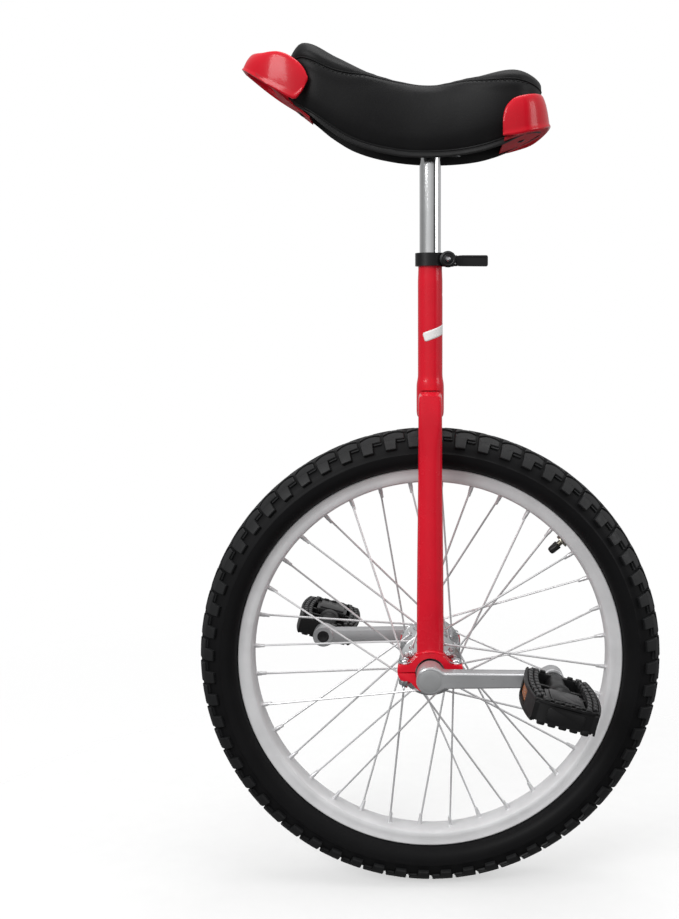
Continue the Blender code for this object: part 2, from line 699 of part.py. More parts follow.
def make_half_holder(name, up, thickness):
    """Half of a bearing holder: an arch with two ears; up is 1 for the top half, -1 for the cap."""
    low, high = BEARING_Y - HOLDER_WIDTH / 2, BEARING_Y + HOLDER_WIDTH / 2
    arch = rod(name, (0, low, AXLE_Z), (0, high, AXLE_Z), HOLDER_RADIUS, sides=24)
    ears = block("ears", (0, BEARING_Y, AXLE_Z + up * thickness / 2),
                 (2 * EAR_HALF, HOLDER_WIDTH - 0.0004, thickness))
    fuse(arch, soften(ears, 0.0018))
    bore = rod("cut_bore", (0, low - 0.01, AXLE_Z), (0, high + 0.01, AXLE_Z), BEARING_RADIUS + GAP, sides=24)
    other_half = block("cut_half", (0, BEARING_Y, AXLE_Z - up * (0.015 - 0.0004)), (0.08, 0.04, 0.030))
    cut(arch, bore, other_half)
    for x in (-CAP_BOLT_X, CAP_BOLT_X):
        cut(arch, rod("cut_bolt", (x, BEARING_Y, AXLE_Z - 0.03), (x, BEARING_Y, AXLE_Z + 0.03),
                      M6_RADIUS + GAP, sides=10))
    paint(arch, RED, 0.22)
    return arch


def make_cap_bolt(name, x):
    top = AXLE_Z + EAR_THICKNESS + GAP
    bolt = rod(name, (x, BEARING_Y, top + 0.001), (x, BEARING_Y, AXLE_Z - 0.0165), M6_RADIUS, sides=10)
    head = rod("bolt_head", (x, BEARING_Y, top), (x, BEARING_Y, top + 0.0038), 0.0050, 0.0030, sides=16)
    fuse(bolt, head)
    paint(bolt, STEEL, 0.25, 1.0)
    return bolt


def make_cap_nut(name, x):
    top = AXLE_Z - CAP_EAR_THICKNESS - GAP
    nut = rod(name, (x, BEARING_Y, top), (x, BEARING_Y, top - 0.0050), 0.0056, sides=6)
    cut(nut, rod("cut_nut", (x, BEARING_Y, top + 0.01), (x, BEARING_Y, top - 0.01),
                 M6_RADIUS + GAP, sides=10))
    paint(nut, STEEL, 0.25, 1.0)
    return nut


def make_fork(parent):
    right = [make_right_leg(),
             make_half_holder("right_bearing_holder", 1, EAR_THICKNESS),
             make_half_holder("right_bearing_cap", -1, CAP_EAR_THICKNESS),
             make_outer_race()]
    for word, x in (("front", -CAP_BOLT_X), ("rear", CAP_BOLT_X)):
        right.append(make_cap_bolt(f"right_{word}_cap_bolt", x))
        right.append(make_cap_nut(f"right_{word}_cap_nut", x))
    for piece in right:
        name = piece.name.replace("right", "left")
        if "front" in name:
            name = name.replace("front", "rear")
        elif "rear" in name:
            name = name.replace("rear", "front")
        attach(copy_turned(piece, name), parent)
        attach(piece, parent)


def make_outer_race():
    race = ring("right_bearing_outer_race", 0.0121, BEARING_RADIUS, BEARING_Y - BEARING_WIDTH / 2,
                BEARING_Y + BEARING_WIDTH / 2, centre=(0, 0, AXLE_Z))
    paint(race, STEEL, 0.15, 1.0)
    return race


# ---------------------------------------------------------------- seat clamp

def make_collar(parent):
    """A split ring round the top of the seat tube with two ears at the rear."""
    collar = rod("seat_clamp_collar", (0, 0, COLLAR_BOTTOM), (0, 0, COLLAR_TOP), COLLAR_RADIUS, sides=24)
    ears = block("collar_ears", (0.0170, 0, SKEWER_Z),
                 (0.0120, 2 * EAR_FACE, COLLAR_TOP - COLLAR_BOTTOM - 0.0004))
    fuse(collar, soften(ears, 0.0015))
    bore = rod("cut_bore", (0, 0, 0.60), (0, 0, 0.65), TUBE_OUTER + 0.0002, sides=24)
    slot = block("cut_slot", (0.020, 0, SKEWER_Z), (0.030, 0.0030, 0.030))
    hole = rod("cut_skewer", (SKEWER_X, -0.02, SKEWER_Z), (SKEWER_X, 0.02, SKEWER_Z), SKEWER_RADIUS + GAP,
               sides=16)
    cut(collar, bore, slot, hole)
    paint(collar, BLACK, 0.35)
    attach(collar, parent)


def make_skewer(parent):
    """The cross bolt, its far end a small barrel that the lever's pin passes through."""
    skewer = rod("qr_skewer", (SKEWER_X, -0.0160, SKEWER_Z), (SKEWER_X, LEVER_PIVOT_Y, SKEWER_Z),
                 SKEWER_RADIUS, sides=16)
    barrel = rod("skewer_barrel", (SKEWER_X, LEVER_PIVOT_Y, SKEWER_Z - 0.0025),
                 (SKEWER_X, LEVER_PIVOT_Y, SKEWER_Z + 0.0025), 0.0034, sides=20)
    fuse(skewer, barrel)
    cut(skewer, rod("cut_pin", (SKEWER_X, LEVER_PIVOT_Y, SKEWER_Z - 0.01),
                    (SKEWER_X, LEVER_PIVOT_Y, SKEWER_Z + 0.01), 0.0021, sides=16))
    paint(skewer, STEEL, 0.3, 1.0)
    attach(skewer, parent)
    inner_face = -EAR_FACE - GAP
    bore = SKEWER_RADIUS + 0.0002
    outer_face = inner_face - 0.0055
    nut = turned("qr_nut", [(0.0070, inner_face), (0.0070, inner_face - 0.0035), (0.0055, outer_face),
                            (bore, outer_face), (bore, inner_face)], (SKEWER_X, 0, SKEWER_Z))
    paint(nut, BLACK, 0.35)
    attach(nut, parent)


def make_lever(parent):
    """The cam lever with its pin, closed so that its bar points to the rear."""
    half = LEVER_HEIGHT / 2
    lever = rod("qr_lever", (SKEWER_X, LEVER_PIVOT_Y, SKEWER_Z - half),
                (SKEWER_X, LEVER_PIVOT_Y, SKEWER_Z + half), 0.0055, sides=24)
    bar = block("lever_bar", (SKEWER_X + LEVER_LENGTH / 2, LEVER_PIVOT_Y, SKEWER_Z),
                (LEVER_LENGTH, 0.0046, LEVER_HEIGHT - 0.0006))
    fuse(lever, soften(bar, 0.0012))
    room = block("cut_room", (SKEWER_X - 0.0070 + 0.0039, LEVER_PIVOT_Y, SKEWER_Z), (0.0140, 0.020, 0.0056))
    cut(lever, room)
    fuse(lever, rod("lever_pin", (SKEWER_X, LEVER_PIVOT_Y, SKEWER_Z - half + 0.0005),
                    (SKEWER_X, LEVER_PIVOT_Y, SKEWER_Z + half - 0.0005), 0.0018, sides=16))
    paint(lever, BLACK, 0.35)
    attach(lever, parent)


# ---------------------------------------------------------------- saddle

def make_seatpost(parent):
    low, high = POST_BOTTOM, PLATE_TOP - PLATE_SIZE[2] - GAP
    post = ring("seatpost", POST_RADIUS - POST_WALL, POST_RADIUS, low, high, axis="Z")
    paint(post, STEEL, 0.12, 1.0)
    attach(post, parent)


def end_rounding(x, inset):
    """How much of the width remains near the saddle's rounded nose and tail."""
    reach = 0.036
    from_end = min(x - (NOSE_X + inset), (TAIL_X - inset) - x)
    if from_end >= reach:
        return 1.0
    t = 1 - max(from_end, 0.0) / reach
    return sqrt(max(1 - 0.86 * t * t, 0.0))


def saddle_stations(inset):
    low, high = NOSE_X + inset, TAIL_X - inset
    ends = (0.0, 0.004, 0.012, 0.024, 0.040)
    middle = 6
    inner_low, inner_high = low + 0.040, high - 0.040
    return ([low + e for e in ends]
            + [inner_low + (inner_high - inner_low) * i / middle for i in range(1, middle)]
            + [high - e for e in reversed(ends)])


def section_half(part):
    """Half width at a part of the height, as a part of the greatest half width."""
    for (w0, h0), (w1, h1) in zip(SADDLE_SECTION, SADDLE_SECTION[1:]):
        if part <= h1:
            return w0 + (w1 - w0) * (part - h0) / (h1 - h0)
    return 0.0


def saddle_row(x, inset, bottom_rise):
    """One side of the cushion's section at x, from its lower edge up to the middle of the top."""
    top = smooth(SADDLE_TOP, x) - inset
    edge = smooth(SADDLE_EDGE, x)
    half = smooth(SADDLE_HALF, x) * end_rounding(x, inset)
    height = top - edge
    start = bottom_rise / height
    parts = [start] + [h for _, h in SADDLE_SECTION if h > start + 0.02]
    while len(parts) < len(SADDLE_SECTION):
        parts.insert(1, (parts[0] + parts[1]) / 2)
    return [(max(half * section_half(part) - (inset if part < 0.999 else 0.0), 0.0), edge + height * part)
            for part in parts]


def mirrored_row(x, half):
    """A full row across the saddle from its half, the right side first."""
    return [(x, y, z) for y, z in half] + [(x, -y, z) for y, z in reversed(half[:-1])]


def make_cover(parent):
    rows = [mirrored_row(x, saddle_row(x, 0.0, 0.0)) for x in saddle_stations(0.0)]
    cover = loft("saddle_cover", rows, closed_rings=False, ends=True)
    thicken(cover, COVER_THICKNESS)
    paint(cover, BLACK, 0.4)
    attach(cover, parent)


def make_foam(parent):
    inset = COVER_THICKNESS + 0.0018
    rows = [mirrored_row(x, saddle_row(x, inset, FOAM_RISE)) for x in saddle_stations(inset)]
    foam = loft("saddle_foam", rows, closed_rings=True, ends=True)
    paint(foam, (0.7, 0.6, 0.35), 0.9)
    attach(foam, parent)


def base_row(x, inset):
    """Across the base: its rim inside the cover's lower edge, its middle raised."""
    top = smooth(SADDLE_TOP, x)
    edge = smooth(SADDLE_EDGE, x)
    half = smooth(SADDLE_HALF, x) * end_rounding(x, inset)
    low = 0.0010
    rim = half * section_half(low / (top - edge)) - inset
    shoulder = half * section_half(BASE_RISE * 0.7 / (top - edge)) - inset - 0.0006
    return [(rim, edge + low), (shoulder, edge + BASE_RISE * 0.7), (shoulder * 0.86, edge + BASE_RISE),
            (0.0, edge + BASE_RISE)]


def make_base(parent, holes):
    inset = COVER_THICKNESS + 0.0012
    rows = [mirrored_row(x, base_row(x, inset)) for x in saddle_stations(inset + 0.001)]
    base = loft("saddle_base", rows, closed_rings=False, ends=True)
    thicken(base, BASE_THICKNESS)
    cut(base, *holes)
    paint(base, BLACK, 0.5)
    attach(base, parent)


def guard_rows(centre_x, reach, half, wing, forward, top, bottom):
    """Stations along a band that wraps the nose or the tail of the saddle.

    forward is -1 at the nose and 1 at the tail; top and bottom give the band's
    edges as curves of the distance from the wings.
    """
    steps = 12
    plan = [(centre_x - forward * wing, half)]
    plan += [(centre_x + forward * reach * sin(pi * i / steps), half * cos(pi * i / steps))
             for i in range(steps + 1)]
    plan.append((centre_x - forward * wing, -half))
    rows = []
    for x, y in plan:
        along = forward * (x - centre_x) + wing
        rows.append([(x, y, smooth(bottom, along)), (x, y, smooth(top, along))])
    return rows


def make_guard(name, rows, tongue, screw_hole, parent):
    """A red band round one end of the saddle with a tongue screwed under the base."""
    band = loft(name, rows, closed_rings=False, ends=False)
    solidify = band.modifiers.new("Wall", "SOLIDIFY")
    solidify.thickness = 0.003
    solidify.offset = 0.0
    solidify.use_even_offset = True
    fuse(band, tongue)
    cut(band, screw_hole)
    paint(band, RED, 0.25)
    attach(band, parent)


def slab(name, low_end, high_end, half_width, thickness):
    """A flat plate between two (x, z) points of its top face."""
    (x0, z0), (x1, z1) = low_end, high_end
    length = hypot(x1 - x0, z1 - z0)
    angle = -atan2(z1 - z0, x1 - x0)
    place = Matrix.Translation(((x0 + x1) / 2, 0, (z0 + z1) / 2)) @ Matrix.Rotation(angle, 4, "Y")
    return block(name, (0, 0, -thickness / 2), (length, 2 * half_width, thickness), place)


def guard_tongue(name, ends, plan):
    """The plate under the base, trimmed to the oval plan of the band that it joins."""
    centre_x, reach, half = plan
    tongue = slab(name, *ends, half, 0.0030)
    oval = bmesh.new()
    bmesh.ops.create_cone(oval, cap_ends=True, segments=32, radius1=1.0, radius2=1.0, depth=1.0)
    bmesh.ops.scale(oval, vec=(reach, half, 0.2), verts=oval.verts)
    boolean(tongue, add_mesh(name + "_oval", oval, Matrix.Translation((centre_x, 0, 0.78))), "INTERSECT")
    return tongue


def screw_between(name, top_point, tilt, head_depth, length, radius=0.0020, head=0.0042):
    """A pan-head screw through the tongue, tilted about Y with it; top_point is on the tongue's top."""
    up = Vector((sin(tilt), 0, cos(tilt)))
    start = Vector((top_point[0], 0, top_point[1]))
    screw = rod(name, start - up * (head_depth + 0.0005), start + up * length, radius, sides=12)
    cap = rod("screw_head", start - up * (head_depth + 0.0022), start - up * head_depth,
              head * 0.7, head, sides=16)
    fuse(screw, cap)
    paint(screw, STEEL, 0.3, 1.0)
    return screw


def screw_hole(name, top_point, tilt, radius=0.0020):
    up = Vector((sin(tilt), 0, cos(tilt)))
    middle = Vector((top_point[0], 0, top_point[1]))
    return rod(name, middle - up * 0.012, middle + up * 0.012, radius + GAP, sides=12)


def make_front_handle(parent):
    rows = guard_rows(*HANDLE_PLAN, HANDLE_WING, -1, HANDLE_TOP, HANDLE_LOW)
    tilt = -atan2(NOSE_TONGUE[1][1] - NOSE_TONGUE[0][1], NOSE_TONGUE[1][0] - NOSE_TONGUE[0][0])
    spot = along_tongue(NOSE_TONGUE, 0.84)
    tongue = guard_tongue("handle_tongue", NOSE_TONGUE, HANDLE_PLAN)
    make_guard("front_handle", rows, tongue, screw_hole("cut_handle_screw", spot, tilt), parent)
    attach(screw_between("front_handle_screw", spot, tilt, 0.0033, 0.0060), parent)
    return screw_hole("cut_base_front", spot, tilt)


def along_tongue(tongue, part):
    (x0, z0), (x1, z1) = tongue
    return x0 + (x1 - x0) * part, z0 + (z1 - z0) * part


def make_rear_bumper(parent):
    rows = guard_rows(*BUMPER_PLAN, BUMPER_WING, 1, BUMPER_TOP, BUMPER_LOW)
    tilt = -atan2(TAIL_TONGUE[1][1] - TAIL_TONGUE[0][1], TAIL_TONGUE[1][0] - TAIL_TONGUE[0][0])
    spot = along_tongue(TAIL_TONGUE, 0.30)
    tongue = guard_tongue("bumper_tongue", TAIL_TONGUE, BUMPER_PLAN)
    make_guard("rear_bumper", rows, tongue, screw_hole("cut_bumper_screw", spot, tilt), parent)
    attach(screw_between("rear_bumper_screw", spot, tilt, 0.0033, 0.0060), parent)
    return screw_hole("cut_base_rear", spot, tilt)


def make_plate(parent):
    """The steel plate on top of the post, with its four bolts up into the base."""
    plate = block("saddle_plate", (0, 0, PLATE_TOP - PLATE_SIZE[2] / 2), PLATE_SIZE)
    holes = []
    spots = [(x, y) for x in (-0.024, 0.024) for y in (-0.015, 0.015)]
    for number, (x, y) in enumerate(spots, 1):
        cut(plate, rod("cut_plate", (x, y, 0.72), (x, y, 0.74), M6_RADIUS + GAP, sides=10))
        top = PLATE_TOP - PLATE_SIZE[2] - GAP
        bolt = rod(f"saddle_bolt_{number}", (x, y, top - 0.001), (x, y, PLATE_TOP + 0.0045), M6_RADIUS,
                   sides=12)
        fuse(bolt, rod("bolt_head", (x, y, top - 0.0040), (x, y, top), 0.0056, sides=6))
        paint(bolt, STEEL, 0.3, 1.0)
        attach(bolt, parent)
        holes.append(rod("cut_base", (x, y, 0.72), (x, y, 0.75), M6_RADIUS + GAP, sides=10))
    paint(plate, STEEL, 0.4, 1.0)
    attach(plate, parent)
    return holes


def make_saddle(parent):
    holes = make_plate(parent)
    holes.append(make_front_handle(parent))
    holes.append(make_rear_bumper(parent))
    make_base(parent, holes)
    make_foam(parent)
    make_cover(parent)


# ---------------------------------------------------------------- assembly

def make_wheel(parent):
    make_tyre(parent)
    make_inner_tube(parent)
    make_rim_tape(parent)
    make_rim(parent)
    make_spokes("left_spokes", -1, parent)
    make_spokes("right_spokes", 1, parent)
    make_hub(parent)
    make_axle(parent)
    make_inner_race("left_bearing_inner_race", -1, parent)
    make_inner_race("right_bearing_inner_race", 1, parent)
    make_cranks(parent)
    make_valve(parent)


clear_scene()
PARTS = new_collection("unicycle")
CUTTERS = new_collection("cutters")

frame = pivot("frame_pivot", (0, 0, 0))
make_seat_tube(frame)
make_fork(frame)
make_collar(frame)
make_skewer(frame)
make_lever(pivot("qr_lever_pivot", (SKEWER_X, LEVER_PIVOT_Y, SKEWER_Z)))
make_seatpost(pivot("seatpost_pivot", (0, 0, TUBE_TOP)))
make_saddle(pivot("saddle_pivot", (0, 0, PLATE_TOP)))
make_wheel(pivot("wheel_pivot", (0, 0, AXLE_Z)))
pedal_middle = PEDAL_INNER + PEDAL_LENGTH / 2
make_pedal("left_pedal", -1, pivot("left_pedal_pivot", (CRANK_LENGTH, -pedal_middle, AXLE_Z)))
make_pedal("right_pedal", 1, pivot("right_pedal_pivot", (-CRANK_LENGTH, pedal_middle, AXLE_Z)))
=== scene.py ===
"""The looks of an 18 inch unicycle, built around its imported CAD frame.

Frame: metres, +Z up, -X to the front, -Y to the rider's left.  Each visible piece
is shaped here in mesh code, rides on a CAD body and stands for its CAD node.
"""

from math import atan2, cos, pi, radians, sin, sqrt

import bmesh
import bpy
from mathutils import Matrix, Vector


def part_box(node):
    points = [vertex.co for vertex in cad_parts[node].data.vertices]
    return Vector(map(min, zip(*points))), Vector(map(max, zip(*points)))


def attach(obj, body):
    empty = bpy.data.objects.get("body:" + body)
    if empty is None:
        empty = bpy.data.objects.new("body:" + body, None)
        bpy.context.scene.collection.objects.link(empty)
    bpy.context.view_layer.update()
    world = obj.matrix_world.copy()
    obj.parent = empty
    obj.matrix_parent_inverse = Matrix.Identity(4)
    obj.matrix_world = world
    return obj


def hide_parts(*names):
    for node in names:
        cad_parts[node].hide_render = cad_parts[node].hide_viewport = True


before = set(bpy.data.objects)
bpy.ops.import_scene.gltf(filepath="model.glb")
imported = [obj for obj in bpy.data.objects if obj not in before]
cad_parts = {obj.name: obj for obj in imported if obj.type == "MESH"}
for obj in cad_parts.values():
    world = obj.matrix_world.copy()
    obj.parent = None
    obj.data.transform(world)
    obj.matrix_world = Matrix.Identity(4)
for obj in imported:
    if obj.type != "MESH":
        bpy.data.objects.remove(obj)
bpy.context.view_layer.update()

LEFT, RIGHT = -1, 1
SIDE_NAMES = {LEFT: "left", RIGHT: "right"}


# ---- places

def middle(node):
    low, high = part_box(node)
    return (low + high) / 2


def facing(origin, direction):
    """A matrix that puts local +Z along the direction, at the origin."""
    return Matrix.Translation(origin) @ Vector(direction).to_track_quat("Z", "Y").to_matrix().to_4x4()


def upright(x, y, z):
    """A matrix that moves the origin and leaves local +Z upright."""
    return Matrix.Translation((x, y, z))


def around(angle):
    """The direction at an angle clockwise from the top, seen from the left side."""
    return Vector((sin(angle), 0.0, cos(angle)))


def half_turn(side):
    """Right-hand pieces are built on +Y; the left ones are turned half way about Z."""
    return Matrix.Identity(4) if side == RIGHT else Matrix.Rotation(pi, 4, "Z")


def smooth(points, x):
    """The value at x of a smooth curve through the points (a cubic through each span)."""
    if x <= points[0][0]:
        return points[0][1]
    for i in range(len(points) - 1):
        (x0, y0), (x1, y1) = points[i], points[i + 1]
        if x <= x1:
            before = points[max(i - 1, 0)]
            after = points[min(i + 2, len(points) - 1)]
            slope0 = (y1 - before[1]) / (x1 - before[0])
            slope1 = (after[1] - y0) / (after[0] - x0)
            t = (x - x0) / (x1 - x0)
            span = x1 - x0
            return (y0 * (1 + 2 * t) * (1 - t) ** 2 + slope0 * span * t * (1 - t) ** 2
                    + y1 * t * t * (3 - 2 * t) + slope1 * span * t * t * (t - 1))
    return points[-1][1]


def ease(x, low, high):
    """Runs smoothly from 0 to 1 as x goes from low to high."""
    t = min(max((x - low) / (high - low), 0.0), 1.0)
    return t * t * (3 - 2 * t)


def larger(a, b, blend):
    """The larger of two heights, rounded off where they meet."""
    h = max(blend - abs(a - b), 0.0) / blend
    return max(a, b) + h * h * blend / 4


def spread(low, high, count):
    return [low + (high - low) * i / (count - 1) for i in range(count)]


AXLE = middle("hub")
AXLE.y = 0.0
tyre_low, tyre_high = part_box("tyre")
WHEEL_RADIUS = (tyre_high.z - tyre_low.z) / 2
WHEEL_AXIS = facing(AXLE, (0, 1, 0))


# ---- mesh tools

def bridge(shape, first, second):
    """Faces between two rings of points; a ring of one point is a pole."""
    count = max(len(first), len(second))
    for i in range(count):
        j = (i + 1) % count
        if len(first) == 1:
            shape.faces.new((first[0], second[j], second[i]))
        elif len(second) == 1:
            shape.faces.new((first[i], first[j], second[0]))
        else:
            shape.faces.new((first[i], first[j], second[j], second[i]))


def skin(shape, rings):
    """A skin from ring to ring with a cap at each end."""
    for first, second in zip(rings, rings[1:]):
        bridge(shape, first, second)
    shape.faces.new(rings[0][::-1])
    shape.faces.new(rings[-1])


def mirrored(half):
    """A turned profile and its other half, from (radius, across) points that end on the middle."""
    return half + [(radius, -across) for radius, across in reversed(half[:-1])]


def lathe(shape, profile, place, steps=64, closed=False):
    """A turned form about local Z from (radius, height) points."""
    rings = []
    for radius, height in profile:
        if radius < 1e-6:
            rings.append([shape.verts.new(place @ Vector((0, 0, height)))])
        else:
            angles = [2 * pi * i / steps for i in range(steps)]
            rings.append([shape.verts.new(place @ Vector((radius * cos(a), radius * sin(a), height)))
                          for a in angles])
    for first, second in zip(rings, rings[1:] + rings[:1] if closed else rings[1:]):
        bridge(shape, first, second)


def sweep(shape, path, radius, sides, closed=False):
    """A tube along a path; radius is a number or one number per point."""
    points = [Vector(p) for p in path]
    count = len(points)
    radii = radius if isinstance(radius, list) else [radius] * count
    rings = []
    normal = None
    for i, point in enumerate(points):
        after = points[(i + 1) % count] if closed or i + 1 < count else point
        before = points[i - 1] if closed or i > 0 else point
        tangent = (after - before).normalized()
        if normal is None:
            normal = tangent.orthogonal().normalized()
        normal = (normal - tangent * normal.dot(tangent)).normalized()
        side = tangent.cross(normal)
        rings.append([shape.verts.new(point + (normal * cos(a) + side * sin(a)) * radii[i])
                      for a in [2 * pi * k / sides for k in range(sides)]])
    if not closed:
        skin(shape, rings)
        return
    for first, second in zip(rings, rings[1:]):
        bridge(shape, first, second)
    bridge(shape, rings[-1], best_match(rings[-1], rings[0]))


def best_match(ring, other):
    """The other ring's points, started at the one nearest to the ring's first."""
    start = min(range(len(other)), key=lambda k: (other[k].co - ring[0].co).length)
    return other[start:] + other[:start]


def prism(shape, outline, low, high, place, bevel=0.0, segments=2):
    """A flat plate with a rounded rim: an (x, y) outline from low to high along local Z."""
    bottom = [shape.verts.new(place @ Vector((x, y, low))) for x, y in outline]
    top = [shape.verts.new(place @ Vector((x, y, high))) for x, y in outline]
    caps = [shape.faces.new(bottom[::-1]), shape.faces.new(top)]
    for i in range(len(outline)):
        j = (i + 1) % len(outline)
        shape.faces.new((bottom[i], bottom[j], top[j], top[i]))
    if bevel:
        rims = [edge for cap in caps for edge in cap.edges]
        bmesh.ops.bevel(shape, geom=rims, offset=bevel, segments=segments, profile=0.5,
                        affect="EDGES", clamp_overlap=True)


def brick(shape, centre, size, place=None, bevel=0.0003, segments=1):
    """A block with its edges rounded."""
    matrix = Matrix.Translation(centre) @ Matrix.Diagonal((*size, 1.0))
    made = bmesh.ops.create_cube(shape, size=1.0, matrix=matrix if place is None else place @ matrix)
    edges = list({edge for vert in made["verts"] for edge in vert.link_edges})
    bmesh.ops.bevel(shape, geom=edges, offset=bevel, segments=segments, profile=0.5,
                    affect="EDGES", clamp_overlap=True)


def grid(shape, rows, closed_rows=False):
    """Faces between equal rows of points."""
    verts = [[shape.verts.new(point) for point in row] for row in rows]
    for low, high in zip(verts, verts[1:]):
        count = len(low)
        for i in range(count if closed_rows else count - 1):
            j = (i + 1) % count
            shape.faces.new((low[i], low[j], high[j], high[i]))
    return verts


def rounded(corners, radius, steps=5):
    """An outline with each corner rounded; radius is a number or one per corner."""
    points = [Vector(corner) for corner in corners]
    radii = radius if isinstance(radius, list) else [radius] * len(points)
    outline = []
    for i, corner in enumerate(points):
        back = points[i - 1] - corner
        ahead = points[(i + 1) % len(points)] - corner
        reach = min(radii[i], back.length * 0.49, ahead.length * 0.49)
        start = corner + back.normalized() * reach
        end = corner + ahead.normalized() * reach
        for k in range(steps + 1):
            t = k / steps
            point = start * (1 - t) ** 2 + corner * 2 * t * (1 - t) + end * t * t
            outline.append((point.x, point.y))
    return outline


def circle(centre, radius, count, start=0.0, arc=2 * pi, ends=False):
    """Points round a centre; with ends, the last one stands at the end of the arc."""
    steps = count - 1 if ends else count
    angles = [start + arc * i / steps for i in range(count)]
    return [(centre[0] + radius * cos(a), centre[1] + radius * sin(a)) for a in angles]


def as_object(name, shape):
    """A new object in the scene made of the shape, which is used up."""
    mesh = bpy.data.meshes.new(name)
    shape.to_mesh(mesh)
    shape.free()
    obj = bpy.data.objects.new(name, mesh)
    bpy.context.scene.collection.objects.link(obj)
    return obj


def piece(name, shape, looks, body, nodes, sharp=35, wall=None):
    """Makes the shape an object that rides on a body and stands for its CAD nodes."""
    bmesh.ops.recalc_face_normals(shape, faces=shape.faces)
    obj = as_object(name, shape)
    for material in looks if isinstance(looks, tuple) else (looks,):
        obj.data.materials.append(material)
    obj.data.shade_smooth()
    obj.data.set_sharp_from_angle(angle=radians(sharp))
    if wall:
        solidify = obj.modifiers.new("Wall", "SOLIDIFY")
        solidify.thickness = wall
        solidify.offset = -1.0
        solidify.use_even_offset = True
    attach(obj, body)
    if nodes:
        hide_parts(*nodes)
    return obj


# ---- materials

class Nodes:
    """Short calls to build a node tree."""

    def __init__(self, tree):
        self.tree = tree

    def add(self, kind, inputs=None, **settings):
        node = self.tree.nodes.new(kind)
        for key, value in settings.items():
            setattr(node, key, value)
        return self.wire(node, inputs or {})

    def wire(self, node, inputs):
        """Fills a node's inputs: an output of another node is linked, the rest are plain values."""
        for socket, value in inputs.items():
            if isinstance(value, bpy.types.NodeSocket):
                self.tree.links.new(value, node.inputs[socket])
            else:
                node.inputs[socket].default_value = value
        return node

    def maths(self, operation, first, second):
        return self.add("ShaderNodeMath", {0: first, 1: second}, operation=operation).outputs[0]

    def between(self, factor, low, high, start=0.3, end=0.7):
        """A number between low and high as the factor goes from start to end."""
        return self.add("ShaderNodeMapRange", {"Value": factor, "From Min": start, "From Max": end,
                                               "To Min": low, "To Max": high}).outputs["Result"]

    def blend(self, factor, low, high):
        return self.add("ShaderNodeMix", {"Factor": factor, "A": low, "B": high},
                        data_type="RGBA").outputs["Result"]


class Material(Nodes):
    """A material under construction, with the textures that these need."""

    def __init__(self, name):
        self.material = bpy.data.materials.new(name)
        self.material.use_nodes = True
        super().__init__(self.material.node_tree)
        self.shader = self.tree.nodes["Principled BSDF"]
        self.place = self.add("ShaderNodeTexCoord").outputs["Object"]

    def noise(self, scale, detail=3.0, stretch=None, vector=None):
        source = vector or self.place
        if stretch:
            source = self.add("ShaderNodeMapping", {"Vector": source, "Scale": stretch}).outputs["Vector"]
        return self.add("ShaderNodeTexNoise", {"Vector": source, "Scale": scale, "Detail": detail,
                                               "Roughness": 0.55}).outputs["Fac"]

    def cells(self, scale, feature="DISTANCE_TO_EDGE"):
        return self.add("ShaderNodeTexVoronoi", {"Vector": self.place, "Scale": scale},
                        feature=feature).outputs["Distance"]

    def spin_vector(self, centre):
        """Distance from the wheel's axis and place across it, for marks that run round it."""
        shift = self.add("ShaderNodeVectorMath", {0: self.place, 1: centre}, operation="SUBTRACT")
        parts = self.add("ShaderNodeSeparateXYZ", {0: shift.outputs[0]}).outputs
        flat = self.add("ShaderNodeCombineXYZ", {"X": parts["X"], "Z": parts["Z"]})
        length = self.add("ShaderNodeVectorMath", {0: flat.outputs[0]}, operation="LENGTH")
        return self.add("ShaderNodeCombineXYZ", {"X": length.outputs["Value"], "Y": parts["Y"]}).outputs[0]

    def ramp(self, factor, low, high, start=0.3, end=0.7):
        """A colour between low and high as the factor goes from start to end."""
        return self.blend(self.between(factor, 0.0, 1.0, start, end), (*low, 1.0), (*high, 1.0))

    def bump(self, height, distance, strength, below=None):
        """A surface normal; below is the normal of a coarser bump that it adds to."""
        inputs = {"Height": height, "Distance": distance, "Strength": strength}
        if below:
            inputs["Normal"] = below
        return self.add("ShaderNodeBump", inputs).outputs["Normal"]

    def finish(self, colour, roughness, normal, **values):
        self.wire(self.shader, {"Base Color": colour, "Roughness": roughness, "Normal": normal})
        self.wire(self.shader, {name.replace("_", " "): value for name, value in values.items()})
        return self.material


def shade(colour, factor):
    return tuple(min(c * factor, 1.0) for c in colour)


def painted(name, colour, roughness=0.24):
    """Glossy paint: a thin clear coat over slightly cloudy colour, with faint orange peel."""
    tree = Material(name)
    cloud = tree.noise(26.0)
    peel = tree.noise(520.0, detail=1.0)
    return tree.finish(tree.ramp(cloud, shade(colour, 0.93), shade(colour, 1.05)),
                       tree.between(tree.noise(90.0), roughness - 0.03, roughness + 0.06),
                       tree.bump(peel, 0.00001, 0.15), Coat_Weight=0.22, Coat_Roughness=0.09,
                       Specular_IOR_Level=0.2)


def moulded(name, colour, roughness, grain=900.0, depth=0.0001, coat=0.0):
    """Moulded plastic or rubber: fine grain, slight cloudiness in colour and gloss."""
    tree = Material(name)
    speck = tree.noise(grain, detail=2.0)
    return tree.finish(tree.ramp(tree.noise(45.0), shade(colour, 0.86), shade(colour, 1.16)),
                       tree.between(tree.noise(130.0, detail=4.0), roughness - 0.05, roughness + 0.07),
                       tree.bump(speck, depth, 0.6), Coat_Weight=coat, Coat_Roughness=0.12,
                       Specular_IOR_Level=0.3)


